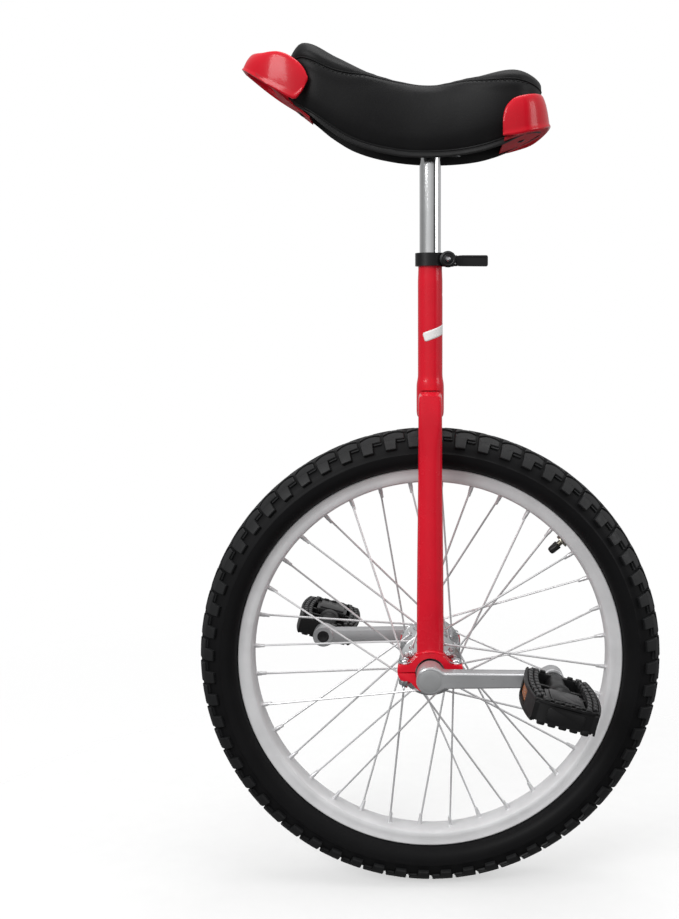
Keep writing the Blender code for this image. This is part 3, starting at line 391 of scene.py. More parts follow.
def metal(name, colour, roughness, streaks=(1.0, 1.0, 1.0), scale=260.0, spread_by=0.06,
          turned_about=None, depth=0.00003, metallic=1.0):
    """Metal with fine marks left by turning or drawing, which also vary its gloss."""
    tree = Material(name)
    vector = tree.spin_vector(turned_about) if turned_about else None
    marks = tree.noise(scale, detail=4.0, stretch=streaks, vector=vector)
    cloud = tree.noise(32.0, detail=3.0)
    return tree.finish(tree.ramp(cloud, shade(colour, 0.92), shade(colour, 1.06)),
                       tree.between(marks, roughness - spread_by / 2, roughness + spread_by),
                       tree.bump(marks, depth, 0.5), Metallic=metallic)


def vinyl(name):
    """Black upholstery vinyl: leather grain pressed in, a satin sheen on the high spots."""
    tree = Material(name)
    grain = tree.cells(620.0)
    wrinkle = tree.noise(240.0, detail=4.0)
    pressed = tree.bump(grain, 0.00022, 0.45)
    return tree.finish(tree.ramp(tree.noise(30.0), (0.0075, 0.0075, 0.008), (0.0115, 0.0115, 0.012)),
                       tree.between(grain, 0.5, 0.4, 0.0, 0.5),
                       tree.bump(wrinkle, 0.00012, 0.4, pressed), Specular_IOR_Level=0.16)


def tread_rubber(name, colour, roughness):
    tree = Material(name)
    dust = tree.noise(60.0, detail=6.0)
    fine = tree.noise(1400.0, detail=2.0)
    return tree.finish(tree.ramp(dust, shade(colour, 0.8), shade(colour, 1.3)),
                       tree.between(tree.noise(200.0), roughness - 0.06, roughness + 0.08),
                       tree.bump(fine, 0.0001, 0.5), Specular_IOR_Level=0.32)


def sidewall_rubber(name, colour, roughness):
    """Smooth rubber with faint mould lines that run round the wheel."""
    tree = Material(name)
    rings = tree.noise(900.0, detail=2.0, vector=tree.spin_vector(AXLE))
    return tree.finish(tree.ramp(tree.noise(35.0), shade(colour, 0.9), shade(colour, 1.12)),
                       tree.between(rings, roughness - 0.05, roughness + 0.06),
                       tree.bump(rings, 0.00004, 0.5), Specular_IOR_Level=0.1)


def amber_lens(name):
    tree = Material(name)
    cube = tree.cells(420.0, "F1")
    # Each cell is painted bright amber at its middle and dark at its edge: a painted glint of the lens's
    # cube-corner facets.
    return tree.finish(tree.ramp(cube, (0.55, 0.16, 0.01), (0.22, 0.05, 0.005), 0.1, 0.7),
                       tree.between(cube, 0.08, 0.22, 0.0, 1.0), tree.bump(cube, 0.0004, 0.6),
                       Transmission_Weight=0.25, Coat_Weight=0.8, Coat_Roughness=0.04)


def paper(name):
    tree = Material(name)
    fibre = tree.noise(700.0, detail=4.0)
    return tree.finish(tree.ramp(fibre, (0.9, 0.9, 0.89), (0.95, 0.95, 0.94)),
                       tree.between(fibre, 0.32, 0.42), tree.bump(fibre, 0.00003, 0.5))


red_paint = painted("red_paint", (0.73, 0.01, 0.027))
red_plastic = painted("red_abs", (0.66, 0.008, 0.022), 0.22)
# A darker, matte copy of the red plastic for the guards' tongues: painted shade under the saddle.
red_painted_shade = moulded("red_abs_painted_shade", (0.52, 0.01, 0.022), 0.6, 700.0)
tyre_side = sidewall_rubber("tyre_sidewall", (0.0065, 0.0065, 0.007), 0.5)
tyre_tread = tread_rubber("tyre_tread", (0.009, 0.0093, 0.01), 0.5)
inner_rubber = moulded("tube_rubber", (0.014, 0.014, 0.015), 0.6)
rim_metal = metal("rim_alloy", (0.8, 0.8, 0.81), 0.42, (1.0, 0.15, 1.0), 900.0, 0.08, AXLE, 0.00004, 0.3)
spoke_metal = metal("spoke_zinc", (0.74, 0.74, 0.75), 0.34, scale=500.0, metallic=0.45)
chrome = metal("chrome", (0.86, 0.87, 0.88), 0.12, (1.0, 1.0, 0.04), 700.0, 0.05)
hub_chrome = metal("hub_chrome", (0.78, 0.79, 0.8), 0.18, (1.0, 1.0, 1.0), 900.0, 0.05, AXLE)
crank_alloy = metal("crank_alloy", (0.52, 0.525, 0.535), 0.3, (0.1, 1.0, 1.0), 600.0, 0.07,
                    depth=0.00005, metallic=0.6)
cap_grey = metal("dust_cap", (0.37, 0.375, 0.38), 0.42, scale=500.0, metallic=0.3)
bolt_steel = metal("zinc_steel", (0.62, 0.63, 0.65), 0.22, scale=420.0)
bearing_steel = metal("bearing_steel", (0.55, 0.56, 0.58), 0.18, (1.0, 1.0, 1.0), 900.0, 0.05, AXLE)
plate_steel = metal("plate_steel", (0.36, 0.36, 0.37), 0.38, scale=200.0)
clamp_black = metal("clamp_black", (0.01, 0.01, 0.011), 0.36, scale=500.0, metallic=0.3)
spindle_steel = metal("blacked_spindle", (0.018, 0.018, 0.019), 0.5, scale=420.0, metallic=0.4)
black_steel = metal("black_steel", (0.03, 0.03, 0.032), 0.34, scale=500.0, metallic=0.7)
base_plastic = moulded("base_plastic", (0.008, 0.008, 0.0085), 0.52, 600.0)
pedal_plastic = moulded("pedal_plastic", (0.008, 0.008, 0.0085), 0.42, 800.0, coat=0.05)
# A lighter, glossier copy of the pedal plastic for the parts underfoot: partly scuffing, partly a painted
# highlight on the tops.
pedal_scuffed_and_painted_highlight = moulded("pedal_plastic_scuffed_and_painted_highlight", (0.026, 0.026, 0.027), 0.36, 500.0, coat=0.1)
cap_plastic = moulded("valve_cap_plastic", (0.012, 0.012, 0.012), 0.38)
seal_rubber = moulded("seal_rubber", (0.015, 0.015, 0.016), 0.5)
tape_plastic = moulded("tape_plastic", (0.05, 0.05, 0.05), 0.6)
brass = metal("valve_brass", (0.34, 0.32, 0.27), 0.3)
saddle_vinyl = vinyl("saddle_vinyl")
thread_black = moulded("stitching", (0.02, 0.02, 0.021), 0.7, 1500.0)
amber = amber_lens("amber_reflector")
label = paper("blank_label")


# ---- tyre

TYRE_CENTRE = WHEEL_RADIUS - 0.0265  # radius of the middle of the tyre's cross-section
TREAD_UNITS = 60
BLOCK_HEIGHT = 0.0036
# Share of the height, then rows of (start, its sweep, end, its sweep, bow); a sweep runs down from
# the crown in degrees
TREAD_BLOCKS = (
    (1.0, ((0.09, 6.0, 0.84, 6.0, -4.5), (0.05, 15.5, 0.9, 13.5, -7.0), (0.04, 24.5, 0.91, 20.5, -9.0))),
    (0.98, ((0.04, 31.0, 0.91, 27.0, -9.0), (0.04, 38.0, 0.91, 36.0, -3.0), (0.04, 44.0, 0.91, 44.0, 0.0))),
    (1.0, ((0.04, 42.0, 0.56, 42.0, 0.0), (0.05, 55.0, 0.54, 55.0, 0.0), (0.07, 68.0, 0.52, 68.0, 0.0))),
    (0.5, ((0.57, 43.0, 0.95, 43.0, 0.0), (0.58, 46.0, 0.94, 46.0, 0.0), (0.59, 49.0, 0.93, 49.0, 0.0))),
)


def casing_reach(sweep):
    """Distance of the casing from the middle of the cross-section, under the tread."""
    return 0.0229 + 0.0014 * ease(sweep, 20.0, 80.0)


def tread_point(side, unit, along, sweep, height):
    """A point over the casing, in one of the equal units that the tread is made of."""
    angle = 2 * pi * (unit + along + (0.5 if side > 0 else 0.0)) / TREAD_UNITS
    reach = casing_reach(sweep) + height
    out = radians(sweep)
    return AXLE + around(angle) * (TYRE_CENTRE + reach * cos(out)) + Vector((0, side * reach * sin(out), 0))


def tread_block(shape, side, unit, share, rows):
    """One block: a curved top, a rounded edge and walls down into the casing."""
    height = BLOCK_HEIGHT * share
    across = 5
    spots = [[(u0 + (u1 - u0) * t, s0 + (s1 - s0) * t + bow * 4 * t * (1 - t))
              for t in spread(0.0, 1.0, across)] for u0, s0, u1, s1, bow in rows]
    middle_u = sum(u for row in spots for u, _ in row) / (across * len(rows))
    middle_s = sum(s for row in spots for _, s in row) / (across * len(rows))
    half_along, half_down = 0.0085, 0.005  # about half the size of a block

    def at(spot, inset, level):
        u, s = spot
        shrink_u = 1 - inset / half_along
        shrink_s = 1 - inset / half_down
        return tread_point(side, unit, middle_u + (u - middle_u) * shrink_u,
                           middle_s + (s - middle_s) * shrink_s, level)

    top = [[shape.verts.new(at(spot, 0.0006, height)) for spot in row] for row in spots]
    for low, high in zip(top, top[1:]):
        for i in range(across - 1):
            shape.faces.new((low[i], low[i + 1], high[i + 1], high[i])).material_index = 1
    last = len(rows) - 1
    loop = ([(0, i) for i in range(across)] + [(j, across - 1) for j in range(1, last + 1)]
            + [(last, i) for i in range(across - 2, -1, -1)] + [(j, 0) for j in range(last - 1, 0, -1)])
    ring = [top[j][i] for j, i in loop]
    for inset, level in ((0.0, height - 0.0006), (-0.0003, -0.0012)):
        lower = [shape.verts.new(at(spots[j][i], inset, level)) for j, i in loop]
        for k in range(len(loop)):
            m = (k + 1) % len(loop)
            shape.faces.new((ring[k], ring[m], lower[m], lower[k])).material_index = 1
        ring = lower
    shape.faces.new(ring).material_index = 1


def make_tyre():
    shape = bmesh.new()
    crown = [(TYRE_CENTRE + casing_reach(s) * cos(radians(s)), casing_reach(s) * sin(radians(s)))
             for s in spread(0.0, 74.0, 14)]
    side = [(0.2085, 0.024), (0.2072, 0.0246), (0.2066, 0.0253), (0.2056, 0.0252), (0.2025, 0.0252),
            (0.1985, 0.0241), (0.1955, 0.0221), (0.193, 0.019), (0.1918, 0.016), (0.1912, 0.0126),
            (0.189, 0.0115), (0.1835, 0.0113), (0.1832, 0.008), (0.194, 0.0135), (0.205, 0.019),
            (0.216, 0.0175), (0.223, 0.009), (0.2243, 0.0)]
    lathe(shape, mirrored(crown + side)[:-1], WHEEL_AXIS, 200, closed=True)
    for share, rows in TREAD_BLOCKS:
        for unit in range(TREAD_UNITS):
            for side in (LEFT, RIGHT):
                tread_block(shape, side, unit, share, rows)
    piece("tyre_body", shape, (tyre_side, tyre_tread), "wheel", ("tyre",), sharp=40)


# ---- rim, spokes, hub

RIM_EDGE = 0.1905
RIM_BED = 0.1763
SPOKES = 18
HUB_CIRCLE = 0.025
FLANGE_INNER, FLANGE_OUTER = 0.028, 0.031
LACING = radians(60)  # how far round a spoke runs between hub and rim
PHASE = radians(-6.5)
STAGGER = 0.003  # how far the nipples stand off the middle of the rim
ELBOW = 0.0022  # how far a spoke's elbow stands off the flange
VALVE_ANGLE = radians(48.5)


def make_rim():
    shape = bmesh.new()
    half = [(RIM_EDGE - 0.0008, 0.0118), (RIM_EDGE - 0.0001, 0.0121), (RIM_EDGE + 0.0004, 0.0128),
            (RIM_EDGE + 0.0003, 0.0137), (RIM_EDGE - 0.0005, 0.0142), (RIM_EDGE - 0.0016, 0.0141),
            (RIM_EDGE - 0.0026, 0.0137), (0.183, 0.0136), (0.1801, 0.0134), (0.1786, 0.0127),
            (0.1775, 0.0112), (0.1768, 0.009), (RIM_BED, 0.005), (0.1761, 0.0)]
    inside = [(0.1788, 0.0), (0.1788, 0.0078), (0.1816, 0.0094), (0.1826, 0.0115), (0.188, 0.0116)]
    lathe(shape, mirrored(half) + mirrored(inside[::-1])[::-1], WHEEL_AXIS, 180, closed=True)
    piece("rim_hoop", shape, rim_metal, "wheel", ("rim",), sharp=28)


def spoke_angles(side, index):
    """Where a spoke leaves the hub and where it meets the rim."""
    phase = PHASE + (radians(10) if side > 0 else 0.0)
    hub = phase + index * 2 * pi / SPOKES
    return hub, hub + (LACING if index % 2 == 0 else -LACING)


def spoke(shape, side, index):
    """Head, elbow through the flange, straight shaft and nipple."""
    hub_angle, rim_angle = spoke_angles(side, index)
    outside = index % 2 == 0
    hole = AXLE + around(hub_angle) * HUB_CIRCLE
    face, back = (FLANGE_OUTER, FLANGE_INNER) if outside else (FLANGE_INNER, FLANGE_OUTER)
    away = 1 if outside else -1
    bend_y = face + away * ELBOW
    bed = AXLE + around(rim_angle) * RIM_BED + Vector((0, side * STAGGER, 0))
    bend = hole + Vector((0, side * bend_y, 0))
    shaft = (bed - bend).normalized()

    def in_hole(y, inset):
        return hole + Vector((0, side * (y - away * inset), 0))

    path = [in_hole(back, 0.0004), in_hole(bend_y, 0.0016), in_hole(bend_y, 0.0004) + shaft * 0.0005,
            bend + shaft * 0.0018, bend + shaft * 0.004, bed - shaft * 0.006]
    sweep(shape, path, 0.001, 8)
    lathe(shape, [(0.0, -0.0002), (0.0017, -0.0002), (0.0019, 0.0002), (0.0015, 0.001), (0.0, 0.0013)],
          facing(in_hole(back, 0.0001), (0, -side * away, 0)), 10)
    inward = -(shaft * 0.55 + around(rim_angle) * 0.45).normalized()
    lathe(shape, [(0.0, -0.003), (0.0026, -0.003), (0.0026, 0.0), (0.0021, 0.0006), (0.002, 0.005),
                  (0.0017, 0.0062), (0.0016, 0.0098), (0.0011, 0.0104),
                  (0.0, 0.0104)], facing(bed, inward), 10)


def make_spokes():
    for side, word in SIDE_NAMES.items():
        shape = bmesh.new()
        for index in range(SPOKES):
            spoke(shape, side, index)
        piece(word + "_spoke_set", shape, spoke_metal, "wheel", (word + "_spokes",))


def make_hub():
    shape = bmesh.new()
    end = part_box("hub")[1].y
    bore = 0.0082
    half = [(bore, end), (0.0101, end), (0.0105, end - 0.0005), (0.0105, 0.0372), (0.011, 0.0345),
            (0.013, 0.0322), (0.016, 0.0312), (0.03, 0.0311), (0.0309, 0.0306), (0.031, 0.0295),
            (0.0309, 0.0284), (0.03, 0.0279), (0.016, 0.0278), (0.014, 0.0268), (0.0128, 0.024),
            (0.0124, 0.02), (0.012, 0.016), (0.0122, 0.0)]
    lathe(shape, mirrored(half), WHEEL_AXIS, 72, closed=True)
    for side in SIDE_NAMES:
        for index in range(SPOKES):
            spot = AXLE + around(spoke_angles(side, index)[0]) * HUB_CIRCLE
            for y, out in ((FLANGE_OUTER, 1), (FLANGE_INNER, -1)):
                lathe(shape, [(0.0014, 0.0), (0.0021, 0.0003), (0.0026, 0.0001), (0.0026, -0.0005),
                              (0.0014, -0.0005)],
                      facing(spot + Vector((0, side * y, 0)), (0, side * out, 0)), 12, closed=True)
    piece("hub_shell", shape, hub_chrome, "wheel", ("hub",))


def make_valve():
    direction = around(VALVE_ANGLE)
    tip = AXLE + direction * 0.1685
    stem = bmesh.new()
    profile = [(0.0, 0.0), (0.0026, 0.0)]
    for step in range(12):
        z = 0.0008 + step * 0.0011
        profile += [(0.0026, z), (0.003, z + 0.0004), (0.0026, z + 0.0008)]
    profile += [(0.0028, 0.0145), (0.003, 0.028), (0.0, 0.028)]
    lathe(stem, profile, facing(tip, direction), 20)
    lathe(stem, [(0.0031, 0.0), (0.0062, 0.0), (0.0066, 0.0004), (0.0066, 0.0016), (0.006, 0.002),
                 (0.0031, 0.002)], facing(AXLE + direction * (RIM_BED - 0.0023), direction), 24,
          closed=True)
    piece("valve_stem_body", stem, brass, "wheel", ("valve_stem",))
    cap = bmesh.new()
    mouth = AXLE + direction * 0.1702
    rings = []
    ribs = 16
    for radius, height in ((0.0032, 0.0002), (0.0038, 0.0), (0.0041, 0.0006), (0.004, 0.003),
                           (0.0037, 0.0085), (0.0034, 0.01), (0.0026, 0.0109), (0.0012, 0.0112)):
        ring = []
        for k in range(2 * ribs):
            r = radius * (1.035 if k % 2 else 0.965)
            a = pi * k / ribs
            ring.append(cap.verts.new(facing(mouth, -direction) @ Vector((r * cos(a), r * sin(a), height))))
        rings.append(ring)
    skin(cap, rings)
    piece("valve_cap_body", cap, cap_plastic, "wheel", ("valve_cap",), sharp=50)


def make_seals():
    """Rubber seals that close the bearings between their races."""
    for side, word in SIDE_NAMES.items():
        low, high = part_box(word + "_bearing_outer_race")
        shape = bmesh.new()
        for y, out in ((low.y, -1), (high.y, 1)):
            lathe(shape, [(0.0096, -0.0004), (0.01, -0.0002), (0.011, -0.00045), (0.012, -0.0002),
                          (0.0124, -0.0004), (0.0124, -0.0012), (0.0096, -0.0012)],
                  facing((0, y, AXLE.z), (0, out, 0)), 40, closed=True)
        piece(word + "_bearing_seals", shape, seal_rubber, "frame", ())


# ---- cranks

CRANK_LENGTH = abs(middle("right_pedal_spindle").x)
CRANK_INNER, CRANK_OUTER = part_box("right_crank")[0].y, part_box("right_crank")[1].y
ARM_BACK = CRANK_OUTER - 0.0148
BOSS_RADIUS, EYE_RADIUS = 0.013, 0.011
SPINDLE_TIP = 0.164  # how far out a pedal spindle ends


def crank_half_height(x):
    """Half the height of the crank at a distance along it from the axle."""
    boss = sqrt(max(BOSS_RADIUS ** 2 - x * x, 0.0)) if x < BOSS_RADIUS else 0.0
    from_eye = x - CRANK_LENGTH
    eye = sqrt(max(EYE_RADIUS ** 2 - from_eye ** 2, 0.0)) if abs(from_eye) < EYE_RADIUS else 0.0
    arm = 0.0074 - 0.0008 * ease(x, 0.01, CRANK_LENGTH) if 0 <= x <= CRANK_LENGTH else 0.0
    return larger(max(boss, eye), arm, 0.006) if arm else max(boss, eye)


def crank_section(x, half):
    """A bar section in (y, z): small bevels, and a fine groove just behind the outer face."""
    back = ARM_BACK - 0.0015 * ease(abs(x - CRANK_LENGTH), 0.016, 0.008)
    front = CRANK_OUTER
    bevel = min(0.0014, half * 0.5)
    corners = [(front, half - bevel), (front - 0.0004, half - bevel * 0.55), (front - 0.0012, half),
               (front - 0.0017, half), (front - 0.0019, half - 0.0007), (front - 0.0027, half - 0.0007),
               (front - 0.0029, half), (back + 0.001, half), (back + 0.0003, half - bevel * 0.2),
               (back, half - bevel * 0.7)]
    return corners + [(y, -z) for y, z in reversed(corners)]


def crank_arm(shape, turn):
    """The bar from behind the boss to the end of the eye."""
    boss = [-BOSS_RADIUS + 0.026 * (1 - cos(t)) / 2 for t in spread(0.12, pi / 2, 9)]
    eye = [CRANK_LENGTH + EYE_RADIUS * sin(t) for t in spread(-0.9, pi / 2 - 0.1, 15)]
    rings = []
    for x in boss + spread(0.0015, CRANK_LENGTH - 0.012, 40) + eye:
        section = crank_section(x, max(crank_half_height(x), 0.0008))
        rings.append([shape.verts.new(turn @ Vector((-x, y, AXLE.z + z))) for y, z in section])
    skin(shape, rings)


def make_crank(side, word):
    """The arm, the cap in its boss and the spindle in its eye; heights run out from its outer face."""
    turn = half_turn(side)
    boss = turn @ facing((0, CRANK_OUTER, AXLE.z), (0, 1, 0))
    eye = turn @ facing((-CRANK_LENGTH, CRANK_OUTER, AXLE.z), (0, 1, 0))
    inner = CRANK_INNER - CRANK_OUTER
    shape = bmesh.new()
    crank_arm(shape, turn)
    lathe(shape, [(0.0075, inner), (0.0122, inner), (0.013, inner + 0.0008), (0.0131, -0.0022),
                  (0.0128, -0.0008), (0.0118, -0.0001), (0.0112, 0.0001), (0.011, -0.001),
                  (0.0075, -0.0015)], boss, 64, closed=True)
    lathe(shape, [(0.0072, -0.0169), (0.01, -0.0169), (0.011, -0.016), (0.0111, -0.002), (0.0104, -0.0002),
                  (0.0072, -0.0001)], eye, 48, closed=True)
    piece(word + "_crank_arm", shape, crank_alloy, "wheel", (word + "_crank",), sharp=24)
    cap = bmesh.new()
    lathe(cap, [(0.0, -0.0021), (0.0106, -0.0021), (0.0108, -0.0006), (0.0104, 0.0001), (0.0098, 0.00035),
                (0.005, 0.0006), (0.0, 0.0007)], boss, 56)
    piece(word + "_crank_cap", cap, cap_grey, "wheel", (word + "_dust_cap",))
    spindle = bmesh.new()
    lathe(spindle, [(0.0, -0.0165), (0.003, -0.0165), (0.0036, -0.0169), (0.0056, -0.0169),
                    (0.0062, -0.0164), (0.007, -0.0146), (0.007, 0.0), (0.0088, 0.0003), (0.0088, 0.0034),
                    (0.007, 0.004), (0.0054, 0.0046), (0.0054, SPINDLE_TIP - CRANK_OUTER - 0.0005),
                    (0.0, SPINDLE_TIP - CRANK_OUTER)], eye, 32)
    piece(word + "_spindle_bar", spindle, spindle_steel, "wheel", (word + "_pedal_spindle",))


# ---- pedals

PEDAL_HALF, PEDAL_END, PEDAL_BOW = 0.0335, 0.047, 0.0058
PEDAL_PITCH = radians(15)
DECK = 0.0098  # height of the cage above its middle, without the lugs
FLOOR = 0.0082  # height of the grooves between the lugs


def pedal_place(side):
    """Local +Y points out along the spindle, local +X to the rear."""
    flip = Matrix.Diagonal((1, side, 1, 1))
    centre = middle(SIDE_NAMES[side] + "_pedal")
    return Matrix.Translation(centre) @ Matrix.Rotation(PEDAL_PITCH, 4, "Y") @ flip


def bowed(y):
    """Half the pedal's length at y: its front and rear bow outwards."""
    return PEDAL_HALF - PEDAL_BOW * (y / PEDAL_END) ** 2


def rail(shape, end, place):
    """The long side of the cage: full at its ends, a pocket for the reflector between."""
    stations = spread(-PEDAL_END + 0.0035, PEDAL_END - 0.0035, 15)
    outer = [(end * bowed(y), y) for y in stations]
    inner = [(end * 0.021, stations[-1]), (end * 0.021, stations[0])]
    for low, high in ((0.0066, FLOOR), (-FLOOR, -0.0066)):
        prism(shape, outer + inner, low, high, place, 0.0006)
    ridge = outer + [(end * (bowed(y) - 0.002), y) for y in reversed(stations)]
    for low, high in ((FLOOR - 0.0006, DECK + 0.0002), (-DECK - 0.0002, -FLOOR + 0.0006)):
        prism(shape, ridge, low, high, place, 0.0005, 1)
    back = [(end * (bowed(y) - 0.0046), y) for y in stations]
    prism(shape, back + inner, -0.007, 0.007, place, 0.0004, 1)
    for low, high in ((-PEDAL_END + 0.003, -0.0176), (0.0176, PEDAL_END - 0.003)):
        face = [(end * (bowed(y) - 0.0002), y) for y in spread(low, high, 5)]
        prism(shape, face + [(end * 0.022, high), (end * 0.022, low)], -0.0075, 0.0075, place, 0.0005, 1)


def lugs(shape, end, up, place):
    """Two rows of teeth along a rail."""
    pitch = 0.0084
    for row, x in enumerate((0.0282, 0.0232)):
        for number in range(-5, 6):
            y = (number + 0.5 * row) * pitch
            if abs(y) < PEDAL_END - 0.0065:
                spot = (end * (x - PEDAL_BOW * (y / PEDAL_END) ** 2), y, up * (DECK - 0.0006))
                brick(shape, spot, (0.004, 0.0052, 0.005), place, 0.0007)


def end_wall(shape, place):
    """The outer end: rounded corners, a raised panel and lugs above and below."""
    corner = PEDAL_HALF - PEDAL_BOW + 0.0012
    outer, inner, cut = PEDAL_END, PEDAL_END - 0.0085, 0.011
    plan = rounded([(-corner, inner), (-corner, outer - cut * 0.5), (-corner + cut, outer),
                    (corner - cut, outer), (corner, outer - cut * 0.5), (corner, inner)],
                   [0.001, 0.0045, 0.006, 0.006, 0.0045, 0.001])
    prism(shape, plan, -FLOOR, FLOOR, place, 0.0008)
    lip = [(x, y) for x, y in plan if y > inner + 0.001]
    lip += [(x * 0.93, y - 0.0021) for x, y in reversed(lip)]
    prism(shape, lip, FLOOR - 0.0008, DECK + 0.0002, place, 0.0004, 1)
    panel = rounded([(-0.0165, -0.006), (0.0165, -0.006), (0.0165, 0.006), (-0.0165, 0.006)], 0.0035)
    prism(shape, panel, 0.0, 0.0008, place @ facing((0, outer - 0.0002, 0), (0, 1, 0)), 0.0004)
    for number in range(-2, 3):
        brick(shape, (number * 0.0092, outer - 0.0042, DECK - 0.0004), (0.006, 0.003, 0.0044), place,
              0.0007)
        brick(shape, (number * 0.0096, outer - 0.0019, 0.0014 - DECK), (0.0072, 0.0034, 0.005), place,
              0.0014, 2)
    for number in range(-2, 2):
        spot = ((number + 0.5) * 0.0092, outer - 0.008, DECK - 0.0008)
        brick(shape, spot, (0.0048, 0.0026, 0.0038), place, 0.0006)


def inner_end(shape, place):
    """The end by the crank: a bar with lugs and the barrel that turns on the spindle."""
    back = 0.001 - PEDAL_END
    front = back + 0.0062
    plan = rounded([(-0.029, back), (0.029, back), (0.029, front), (-0.029, front)], 0.0018)
    prism(shape, plan, -FLOOR, FLOOR, place, 0.0008)
    for up in (-1, 1):
        for x in (-0.0215, -0.013, 0.013, 0.0215):
            brick(shape, (x, back + 0.003, up * (DECK - 0.001)), (0.0052, 0.0032, 0.0034), place, 0.0006)
    lathe(shape, [(0.006, back - 0.0008), (0.009, back - 0.0008), (0.0096, back), (0.0096, -0.012),
                  (0.0102, -0.0105), (0.0118, -0.0092), (0.0122, -0.007), (0.0122, -0.001),
                  (0.0116, 0.0015), (0.01, 0.003), (0.0094, 0.0042), (0.0094, 0.036), (0.006, 0.036)],
          place @ facing((0, 0, 0), (0, 1, 0)), 40, closed=True)


def treads(shape, place):
    """The parts underfoot, above and below: lugs on the rails and a stepped platform, in the lighter
    plastic that is partly scuffs and partly a painted highlight on their tops.
    """
    before = set(shape.faces)
    for up in (-1, 1):
        for end in (-1, 1):
            lugs(shape, end, up, place)
        for half, near, far, low, high in ((0.0168, 0.006, 0.0385, 0.004, 0.0088),
                                           (0.0135, 0.009, 0.036, 0.008, 0.0108)):
            plate = rounded([(-half, near), (half, near), (half, far), (-half, far)], 0.0016)
            prism(shape, plate, min(up * low, up * high), max(up * low, up * high), place, 0.0006)
    for face in set(shape.faces) - before:
        face.material_index = 1


def make_pedal(side, word):
    place = pedal_place(side)
    shape = bmesh.new()
    for end in (-1, 1):
        rail(shape, end, place)
    end_wall(shape, place)
    inner_end(shape, place)
    treads(shape, place)
    for end in (-1, 1):
        brick(shape, (end * 0.019, 0.007, 0), (0.01, 0.003, 0.015), place, 0.0006)
        brick(shape, (end * 0.019, 0.036, 0), (0.01, 0.0034, 0.015), place, 0.0006)
        brick(shape, (end * 0.0152, -0.012, 0), (0.016, 0.003, 0.013), place, 0.0006)
    piece(word + "_pedal_cage", shape, (pedal_plastic, pedal_scuffed_and_painted_highlight), word + "_pedal", (word + "_pedal",),
          sharp=40)
    for end, name in ((-1, "front"), (1, "rear")):
        make_reflector(end, word, f"{word}_{name}_reflector", place)


def make_reflector(end, word, node, place):
    """An amber lens whose outer face is a field of small pyramids."""
    face, back = 0.0022, 0.004  # how far these lie inside the cage's side
    half_length, half_height = 0.017, 0.006
    shape = bmesh.new()
    stations = spread(-half_length, half_length, 15)
    outer = [(end * (bowed(y) - face), y) for y in stations]
    inner = [(end * (bowed(y) - back), y) for y in reversed(stations)]
    prism(shape, outer + inner, -half_height, half_height, place, 0.0003, 1)
    columns = spread(0.001 - half_length, half_length - 0.001, 15)
    rows = spread(0.0008 - half_height, half_height - 0.0008, 6)
    for y0, y1 in zip(columns, columns[1:]):
        for z0, z1 in zip(rows, rows[1:]):
            base = [shape.verts.new(place @ Vector((end * (bowed(y) - face), y, z)))
                    for y, z in ((y0, z0), (y1, z0), (y1, z1), (y0, z1))]
            top = end * (bowed((y0 + y1) / 2) - 0.0012)
            peak = shape.verts.new(place @ Vector((top, (y0 + y1) / 2, (z0 + z1) / 2)))
            bridge(shape, base, [peak])
            shape.faces.new(base[::-1])
    piece(node + "_lens", shape, amber, word + "_pedal", (node,), sharp=20)


# ---- fork

TUBE_RADIUS = 0.0121
LEG_Y = middle("right_bearing_outer_race").y
LEG_TOP, LEG_FOOT = 0.01125, 0.0128  # half the leg's width in the crown and at the foot
FOOT_DEPTH = 0.0072  # half its depth where it is flattened on to the bearing holder
BEND_Z, BEND_RADIUS = 0.465, 0.02
HOLDER_RADIUS, HOLDER_HALF, BORE_RADIUS = 0.02, 0.008, 0.0142
EAR_HALF = 0.0315
CROWN_RADIUS = 0.0135
TUBE_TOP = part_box("seat_tube")[1].z
THREAD = 0.001  # pitch of the threads on the cap bolts
SOCKET_GAP = 0.0009  # how much larger the seat tube's sockets are than the legs


def make_seat_tube():
    shape = bmesh.new()
    outer = [(0.0108, TUBE_TOP), (0.0114, TUBE_TOP), (0.0117, TUBE_TOP - 0.0004), (0.0117, 0.614),
             (0.0118, 0.611), (0.01205, 0.605), (TUBE_RADIUS, 0.602), (TUBE_RADIUS, 0.56),
             (TUBE_RADIUS, 0.513), (0.0122, 0.5105), (0.0124, 0.5085), (0.0128, 0.5062), (0.0132, 0.504),
             (0.0134, 0.5018), (CROWN_RADIUS, 0.499), (CROWN_RADIUS, 0.4775), (0.0134, 0.475),
             (0.0131, 0.4728), (0.0126, 0.4712), (0.012, 0.4706), (0.0108, 0.4706)]
    lathe(shape, outer, Matrix.Identity(4), 72, closed=True)
    tube = piece("seat_tube_body", shape, red_paint, "frame", ("seat_tube",), sharp=40)
    cutter = bmesh.new()
    slot = rounded([(-0.0014, 0.59), (0.0014, 0.59), (0.0014, 0.64), (-0.0014, 0.64)], 0.0013)
    prism(cutter, slot, 0.0, 0.02, Matrix(((0, 0, 1, 0), (1, 0, 0, 0), (0, 1, 0, 0), (0, 0, 0, 1))))
    lathe(cutter, [(0.0, 0.0), (0.0024, 0.0), (0.0024, 0.02), (0.0, 0.02)],
          facing((0, 0, 0.5905), (1, 0, 0)), 16)
    crown_z = BEND_Z + BEND_RADIUS
    socket = LEG_TOP + SOCKET_GAP
    for turn in (1, -1):
        ring = leg_section(Vector((0, 0, 0)), Vector((0, 0, 1)), socket, 1.0, socket, socket)
        prism(cutter, [(p.x, p.y) for p in ring], 0.009, 0.025, facing((0, 0, crown_z), (0, turn, 0)))
    apply_cut(tube, cutter)


